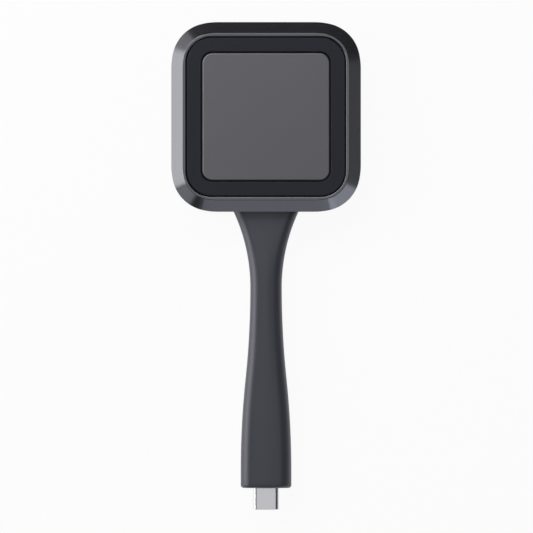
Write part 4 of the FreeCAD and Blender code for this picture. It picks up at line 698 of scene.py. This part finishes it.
def eased(values, run):
    """A value between those at the wall, the waist and the end of the swell."""
    first, last = (0, 1) if run < WAIST else (1, 2)
    span = WAIST if run < WAIST else SWELL_END - WAIST
    share = min(max((run - first * WAIST) / span, 0), 1)
    return values[first] + (values[last] - values[first]) * (1 - math.cos(math.pi * share)) / 2


print("half widths", [round(half_width(run), 2) for run in (0, 24, 53, 82)])


# %% Measure a section and reshape a ring
def reshape(mesh, ring, test, centre, factor, shift):
    """Resizes about a centre and moves those points of a ring that pass a test."""
    for point in ring:
        point.select_set(test(point.co.x * 1000))
    mesh.select_flush_mode()
    bpy.ops.transform.resize(value=factor, center_override=centre)
    if shift:
        bpy.ops.transform.translate(value=(mm(shift), 0, 0))


def section(run):
    """Level, half thickness, side width and flat half width of the neck at a run."""
    side = eased(SIDES, run)
    return eased(LEVELS, run), eased(THICKNESSES, run) / 2, side, half_width(run) - side


# %% Draw the neck's skin ring by ring
def draw_skin():
    """The neck's outer skin, from its root inside the cover to its plug end."""
    run = ROOT_RUN
    level, high, side, flat = section(run)
    skin = upright_outline("neck_draft", -WALL - run, level, flat + side, high, side)
    bpy.ops.mesh.delete(type="ONLY_FACE")
    pick(skin, "edges", lambda edge: abs(edge.verts[0].co.x - edge.verts[1].co.x) > mm(flat))
    bpy.ops.mesh.subdivide(number_cuts=FLAT_CUTS)
    bpy.ops.mesh.select_mode(type="VERT")
    bpy.ops.mesh.select_all(action="SELECT")
    centre = (0, mm(-WALL - run), mm(level))
    mesh = bmesh.from_edit_mesh(skin.data)
    ring = [point for point in mesh.verts if point.select]
    for sign in (1, -1):
        place = (sign * mm(flat), centre[1], centre[2])
        reshape(mesh, ring, lambda x: sign * x > flat - HAIR, place, (side / high, 1, 1), 0)
    for away in sorted({round(abs(point.co.x) * 1000, 3) for point in ring}):
        thinner = 1 - CROWN * (away / (flat + side)) ** 2
        reshape(mesh, ring, lambda x: abs(abs(x) - away) < HAIR, centre, (1, 1, thinner), 0)
    bpy.ops.mesh.select_all(action="SELECT")
    for following in [float(whole) for whole in range(LAST_RING + 1)] + [NECK_END]:
        new_level, new_high, new_side, new_flat = section(following)
        move = (0, -mm(following - run), mm(new_level - level))
        bpy.ops.mesh.extrude_region_move(TRANSFORM_OT_translate={"value": move})
        mesh = bmesh.from_edit_mesh(skin.data)
        ring = [point for point in mesh.verts if point.select]
        y, z = mm(-WALL - following), mm(new_level)
        grow, widen = new_high / high, new_side / side
        inner = (new_flat / flat, 1, grow)
        reshape(mesh, ring, lambda x: abs(x) < flat - HAIR, (0, y, z), inner, 0)
        for sign in (1, -1):
            place = (sign * mm(flat), y, z)
            shift = sign * (new_flat - flat)
            reshape(mesh, ring, lambda x: sign * x > flat - HAIR, place, (widen, 1, grow), shift)
        for point in ring:
            point.select_set(True)
        mesh.select_flush_mode()
        run, level, high, side, flat = following, new_level, new_high, new_side, new_flat
    bpy.ops.mesh.edge_face_add()
    bpy.ops.mesh.bevel(offset=mm(END_ROUND), segments=6, profile=0.5, affect="EDGES")
    pick(skin, "edges", lambda edge: edge.is_boundary)
    bpy.ops.mesh.edge_face_add()
    return skin


neck_skin = finished(draw_skin(), "neck_rubber")

# %% [markdown]
# ### The neck in three lengths
#
# The neck bends at three places. A single skin can't follow three joints, so the skin is
# cut half way between them into three closed lengths, which meet at their flat cut
# faces.

# %% Cut the skin between the bends
BENDS = (22.0, 36.0, 50.0)
CUTS = ((BENDS[0] + BENDS[1]) / 2, (BENDS[1] + BENDS[2]) / 2)


def length_of(piece, name, first, last):
    """A closed copy of a long piece between two runs; None leaves that end as it is."""
    take(piece)
    bpy.ops.object.duplicate()
    copy = bpy.context.active_object
    copy.name = name
    bpy.ops.object.mode_set(mode="EDIT")
    for run, beyond in ((first, False), (last, True)):
        if run is not None:
            bpy.ops.mesh.select_all(action="SELECT")
            place = (0, mm(-WALL - run), 0)
            bpy.ops.mesh.bisect(plane_co=place, plane_no=(0, -1, 0), use_fill=True,
                                clear_outer=beyond, clear_inner=not beyond)
    bpy.ops.object.mode_set(mode="OBJECT")
    return copy


skin_head = length_of(neck_skin, "neck_skin_head", None, CUTS[0])
skin_middle = length_of(neck_skin, "neck_skin_middle", *CUTS)
skin_plug = length_of(neck_skin, "neck_skin_plug", CUTS[1], None)
bpy.data.objects.remove(neck_skin)
print("cut at", CUTS, "mm from the wall")


# %% [markdown]
# ### Anchor plate, bore and socket for the plug
#
# Inside the cover the neck ends in a plate that holds it against a pull. A box with rounded
# upright corners is joined to the skin. The passage of the cable, the room round the plug's
# shield and the slot of its shell are then cut away, as the real moulding leaves them. The
# tool for the passage has a ring about every millimetre: the long faces of a plain cylinder
# would run straight across a bend and come out through the skin.

# %% Tools for the plate and the passages
CABLE_LEVEL = 5.4


def closed(tool):
    """Turns a tool's faces outwards and leaves edit mode."""
    bpy.ops.mesh.select_all(action="SELECT")
    bpy.ops.mesh.normals_make_consistent(inside=False)
    bpy.ops.object.mode_set(mode="OBJECT")
    return tool


def box_tool(name, half_x, y, z, corner):
    """A box between two places along Y and Z, with rounded upright corners."""
    clear()
    centre = (0, mm(sum(y) / 2), mm(sum(z) / 2))
    bpy.ops.mesh.primitive_cube_add(size=mm(2), location=centre)
    tool = begin(name)
    halves = (half_x, abs(y[1] - y[0]) / 2, abs(z[1] - z[0]) / 2)
    bpy.ops.transform.resize(value=halves, center_override=centre)
    pick(tool, "edges", lambda edge: abs(edge.verts[0].co.z - edge.verts[1].co.z) > mm(1))
    bpy.ops.mesh.bevel(offset=mm(corner), segments=4, affect="EDGES")
    return closed(tool)


def bore_tool(name, radius, first_y, last_y):
    """A rod at the cable's level, with a ring about every millimetre so its hole can bend."""
    clear()
    place = (0, mm((first_y + last_y) / 2), mm(CABLE_LEVEL))
    length = abs(last_y - first_y)
    bpy.ops.mesh.primitive_cylinder_add(vertices=48, radius=mm(radius), depth=mm(length),
                                        location=place, rotation=UPRIGHT)
    tool = begin(name)
    pick(tool, "edges", lambda edge: abs(edge.verts[0].co.y - edge.verts[1].co.y) > mm(1))
    bpy.ops.mesh.subdivide(number_cuts=round(length))
    bpy.ops.object.mode_set(mode="OBJECT")
    return tool


def slot_tool(name, first_y, last_y, half_wide, half_high):
    """A flat bar with round sides, for the plug's shell."""
    tool = upright_outline(name, first_y, CABLE_LEVEL, half_wide, half_high, half_high)
    bpy.ops.mesh.select_all(action="SELECT")
    bpy.ops.mesh.extrude_region_move(TRANSFORM_OT_translate={"value": (0, mm(last_y - first_y), 0)})
    return closed(tool)


# %% Join the plate and cut the passages
PLATE_Y, PLATE_Z = (-28.1, -25.7), (2.1, 8.1)
PLATE_HALF, PLATE_CORNER = 12.3, 0.8
BORE, BORE_Y = 1.85, (-20, -101.3)
CRIMP, CRIMP_Y = 2.15, (-97.1, -101.4)
SHIELD_HALF, SHIELD_CORNER = 4.85, 0.1
SHIELD_Y, SHIELD_Z = (-111.35, -101.1), (3.25, 7.55)
SHELL_Y, SHELL_HALVES = (-111.0, -119.0), (4.175, 1.25)

plate = box_tool("plate_tool", PLATE_HALF, PLATE_Y, PLATE_Z, PLATE_CORNER)
combine(skin_head, plate, "UNION")
for skin in (skin_head, skin_middle, skin_plug):
    combine(skin, bore_tool("bore_tool", BORE, *BORE_Y), "DIFFERENCE")
combine(skin_plug, bore_tool("crimp_tool", CRIMP, *CRIMP_Y), "DIFFERENCE")
shield_room = box_tool("shield_tool", SHIELD_HALF, SHIELD_Y, SHIELD_Z, SHIELD_CORNER)
combine(skin_plug, shield_room, "DIFFERENCE")
combine(skin_plug, slot_tool("shell_tool", *SHELL_Y, *SHELL_HALVES), "DIFFERENCE")

for skin in (skin_head, skin_middle, skin_plug):
    take(skin)
    bpy.ops.object.mode_set(mode="EDIT")
    finished(skin, "neck_rubber", 30.0)

# %% [markdown]
# ### Each length and its bend
#
# Rubber doesn't fold at a line, it gives over more than a centimetre. An armature with
# painted weights or a blend could follow that. Here each length is only paired with the
# bodies and the place of its bend, its position is baked into its points, and the
# construction pieces that it replaces are hidden.

# %% Pair each length with its bend, bake it and hide what it replaces
def along(run):
    """A point on the neck's middle line."""
    return (0, mm(-WALL - run), mm(CABLE_LEVEL))


BLENDS = (("head", "neck_upper", BENDS[0]), ("neck_upper", "neck_lower", BENDS[1]),
          ("neck_lower", "plug", BENDS[2]))
NECK_NODES = (("neck_root",), ("neck_upper", "neck_lower"), ("plug_boot",))
for skin, (first, last, run), nodes in zip((skin_head, skin_middle, skin_plug), BLENDS, NECK_NODES):
    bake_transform(skin)
    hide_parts(*nodes)
    print(skin.name, "bends from", first, "to", last)


# %% [markdown]
# ## The cable inside the neck
#
# The cable runs straight from the connector in the head to the small card in the plug. It
# must bend with the neck round it, so it is drawn with rings close enough together to bend
# smoothly, and it is cut at the same two places. A cylinder would have no rings, so a
# circle is extruded step by step instead.

# %% Draw the cable and cut it where the neck is cut
CABLE_START, CABLE_END, CABLE_STEPS = -17.4, -101.2, 56
CABLE_RADIUS, CABLE_ROUND = 1.8, 0.15


def draw_cable():
    """A round cable, its plug end slightly rounded."""
    clear()
    place = (0, mm(CABLE_START), mm(CABLE_LEVEL))
    bpy.ops.mesh.primitive_circle_add(vertices=32, radius=mm(CABLE_RADIUS), fill_type="NGON",
                                      location=place, rotation=UPRIGHT)
    cable = begin("cable_draft")
    step = (0, mm((CABLE_END - CABLE_START) / CABLE_STEPS), 0)
    for _ in range(CABLE_STEPS):
        bpy.ops.mesh.extrude_region_move(TRANSFORM_OT_translate={"value": step})
    last = CABLE_END + NEAR
    pick(cable, "faces", lambda face: len(face.verts) > 4 and level_of(face, 1) < last)
    bpy.ops.mesh.bevel(offset=mm(CABLE_ROUND), segments=3, affect="EDGES")
    return cable


cable = finished(draw_cable(), "cable_jacket")
cores = (length_of(cable, "cable_core_head", None, CUTS[0]),
         length_of(cable, "cable_core_middle", *CUTS),
         length_of(cable, "cable_core_plug", CUTS[1], None))
bpy.data.objects.remove(cable)
CABLE_NODES = (("cable_root",), ("cable_upper", "cable_lower"), ("cable_end",))
for core, (first, last, run), nodes in zip(cores, BLENDS, CABLE_NODES):
    take(core)
    bpy.ops.object.mode_set(mode="EDIT")
    finished(core, "cable_jacket", 40.0)
    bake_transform(core)
    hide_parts(*nodes)

# %% [markdown]
# ## The button's springs
#
# Four small coils stand in their cups and push the button up. The construction model holds
# each as a plain tube. A coil is a wire's round section carried round an axis while it
# rises, which is what the Screw modifier does. The real coil shortens as the button goes
# down; these keep their rest length and are fixed to the head.

# %% Wind one spring and set four
SPRING_LOW, SPRING_HIGH = 7.8, 10.4
WIRE, COIL_WIDTH = 0.35, 5.4
SPRING_PLACES = ((14, 14), (-14, 14), (-14, -14), (14, -14))
HALF_TURNS = 9


def wind_spring():
    """A coil on the Z axis, its wire's ends closed."""
    clear()
    radius = (COIL_WIDTH - WIRE) / 2
    rise = (SPRING_HIGH - SPRING_LOW - WIRE) / HALF_TURNS
    place = (mm(radius), 0, mm(SPRING_LOW + WIRE / 2))
    bpy.ops.mesh.primitive_circle_add(vertices=10, radius=mm(WIRE / 2), location=place,
                                      rotation=UPRIGHT)
    spring = begin("button_coil")
    bpy.ops.object.mode_set(mode="OBJECT")
    bpy.ops.object.modifier_add(type="SCREW")
    screw = spring.modifiers[-1]
    screw.angle = math.pi
    screw.screw_offset = mm(rise)
    screw.iterations = HALF_TURNS
    screw.steps = screw.render_steps = 12
    bpy.ops.object.modifier_apply(modifier=screw.name)
    bpy.ops.object.mode_set(mode="EDIT")
    bpy.ops.mesh.select_all(action="SELECT")
    bpy.ops.mesh.remove_doubles(threshold=mm(HAIR))
    bpy.ops.mesh.select_all(action="SELECT")
    bpy.ops.mesh.fill_holes(sides=0)
    return finished(spring, "spring_steel", 50.0)


coil = wind_spring()
for index, (x, y) in enumerate(SPRING_PLACES, start=1):
    take(coil)
    bpy.ops.object.duplicate()
    spring = bpy.context.active_object
    spring.name = f"button_coil_{index}"
    bpy.ops.transform.translate(value=(mm(x), mm(y), 0))
    bpy.ops.object.transform_apply(location=True)
    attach(spring, "head")
    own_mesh(spring)
    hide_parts(f"button_spring_{index}")
bpy.data.objects.remove(coil)
print("springs", len(SPRING_PLACES))

# %% [markdown]
# ## The soft pads
#
# Four thin soft pieces are left: the foot on the back, the foam gasket under the lip, the
# thermal pad over the shield can and the soft pusher under the button. Each starts as a
# plain shape and gets its thickness first, then the rims and grooves that its mould or its
# cutter leaves. The foot and the gasket share one outline with rounded corners.

# %% A flat outline with rounded corners
def flat_outline(name, side, level, corner, segments):
    """A square sheet with rounded corners at a level."""
    clear()
    bpy.ops.mesh.primitive_plane_add(size=mm(side), location=(0, 0, mm(level)))
    piece = begin(name)
    bpy.ops.mesh.bevel(offset=mm(corner), segments=segments, profile=0.5, affect="VERTICES")
    return piece


# %% [markdown]
# ### The foot
#
# The foot is a silicone pad that keeps the head from sliding. It could be a plain slab, but
# a moulded pad has a rounded rim and a groove that frames its field, and both catch light.
# Insets of the lower face draw the frame, and moving the inset face up and down again
# makes the groove.

# %% The foot
FOOT_SIDE, FOOT_HEIGHT, FOOT_CORNER = 38, 1.0, 8
FOOT_RIM, BORDER = 0.3, 1.7
GROOVE_WIDTH, GROOVE_SLOPE, GROOVE_UP, GROOVE_DOWN = 0.5, 0.25, 0.3, 0.25


def mould_foot():
    """The foot pad: a rounded lower rim, a border groove and a slightly sunken field."""
    foot = flat_outline("foot", FOOT_SIDE, FOOT_HEIGHT, FOOT_CORNER, 16)
    bpy.ops.mesh.extrude_region_move(TRANSFORM_OT_translate={"value": (0, 0, -mm(FOOT_HEIGHT))})
    pick(foot, "edges", lambda edge: level_of(edge, 2) < NEAR)
    bpy.ops.mesh.bevel(offset=mm(FOOT_RIM), segments=4, affect="EDGES")
    pick(foot, "faces", lambda face: level_of(face, 2) < NEAR and len(face.verts) > 4)
    bpy.ops.mesh.inset(thickness=mm(BORDER), use_even_offset=True)
    bpy.ops.mesh.inset(thickness=mm(GROOVE_SLOPE), use_even_offset=True)
    bpy.ops.transform.translate(value=(0, 0, mm(GROOVE_UP)))
    bpy.ops.mesh.inset(thickness=mm(GROOVE_WIDTH), use_even_offset=True)
    bpy.ops.mesh.inset(thickness=mm(GROOVE_SLOPE), use_even_offset=True)
    bpy.ops.transform.translate(value=(0, 0, -mm(GROOVE_DOWN)))
    return finished(foot, "foot_rubber")


foot = mould_foot()
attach(foot, "head")
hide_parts("foot_pad")


# %% [markdown]
# ### The gasket
#
# A thin frame of foam closes the gap between the light ring and the lip against dust. It
# could be a slab cut by a smaller slab. An inset keeps the frame's width even round the
# corners, so the inner face is inset and deleted, and the frame that is left is extruded.

# %% The gasket
GASKET_SIDE, GASKET_LEVEL, GASKET_CORNER = 51.4, 12.1, 8.5
GASKET_WIDTH, GASKET_THICKNESS = 0.6, 0.2


def cut_gasket():
    """A thin foam frame between the light ring's flange and the lip."""
    gasket = flat_outline("gasket", GASKET_SIDE, GASKET_LEVEL, GASKET_CORNER, 20)
    bpy.ops.mesh.inset(thickness=mm(GASKET_WIDTH), use_even_offset=True)
    bpy.ops.mesh.delete(type="FACE")
    bpy.ops.mesh.select_all(action="SELECT")
    rise = (0, 0, mm(GASKET_THICKNESS))
    bpy.ops.mesh.extrude_region_move(TRANSFORM_OT_translate={"value": rise})
    return finished(gasket, "gasket_foam")


gasket = cut_gasket()
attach(gasket, "head")
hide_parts("ring_gasket")


# %% [markdown]
# ### The thermal pad
#
# A grey pad carries the heat from the shield can to the spreader. Pressed between the two it
# fills the room that the construction model keeps for it, so its size is read from there,
# and a cube of that size only has its corners and edges rounded.

# %% The thermal pad
PAD_CORNER, PAD_EDGE = 0.6, 0.3


def cut_thermal_pad():
    """A soft grey slab with rounded corners and edges."""
    low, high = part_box("thermal_pad")
    middle, half = (low + high) / 2, (high - low) / 2
    clear()
    bpy.ops.mesh.primitive_cube_add(size=2, location=middle)
    slab = bpy.context.active_object
    slab.scale = half
    slab = begin("heat_pad")
    pick(slab, "edges", lambda edge: abs(edge.verts[0].co.z - edge.verts[1].co.z) > mm(0.5))
    bpy.ops.mesh.bevel(offset=mm(PAD_CORNER), segments=4, affect="EDGES")
    pick(slab, "edges", lambda edge: abs(level_of(edge, 2) - middle.z * 1000) > 0.4)
    bpy.ops.mesh.bevel(offset=mm(PAD_EDGE), segments=4, affect="EDGES")
    return finished(slab, "thermal_grey", 50.0)


heat_pad = cut_thermal_pad()
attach(heat_pad, "head")
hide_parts("thermal_pad")


# %% [markdown]
# ### The soft pusher
#
# A soft disc under the button meets the switch, so that a press neither rattles nor jars. A
# profile carried round an axis would give it. A filled circle that is extruded and rounded
# at its lower rim is quicker and gives the same disc.

# %% The soft pusher
PUSHER_RADIUS, PUSHER_TOP, PUSHER_HEIGHT = 2.5, 10.4, 0.35
PUSHER_ROUND, PUSHER_BORDER = 0.12, 0.5


def mould_pusher():
    """A soft disc under the button, rounded where it meets the switch."""
    clear()
    bpy.ops.mesh.primitive_circle_add(vertices=48, radius=mm(PUSHER_RADIUS), fill_type="NGON",
                                      location=(0, 0, mm(PUSHER_TOP)))
    pusher = begin("soft_pusher")
    bpy.ops.mesh.extrude_region_move(TRANSFORM_OT_translate={"value": (0, 0, -mm(PUSHER_HEIGHT))})
    underside = PUSHER_TOP - PUSHER_HEIGHT + NEAR
    pick(pusher, "edges", lambda edge: level_of(edge, 2) < underside)
    bpy.ops.mesh.bevel(offset=mm(PUSHER_ROUND), segments=3, affect="EDGES")
    pick(pusher, "faces", lambda face: level_of(face, 2) < underside and len(face.verts) > 4)
    bpy.ops.mesh.inset(thickness=mm(PUSHER_BORDER))
    return finished(pusher, "foot_rubber")


soft_pusher = mould_pusher()
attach(soft_pusher, "button")
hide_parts("button_pusher")
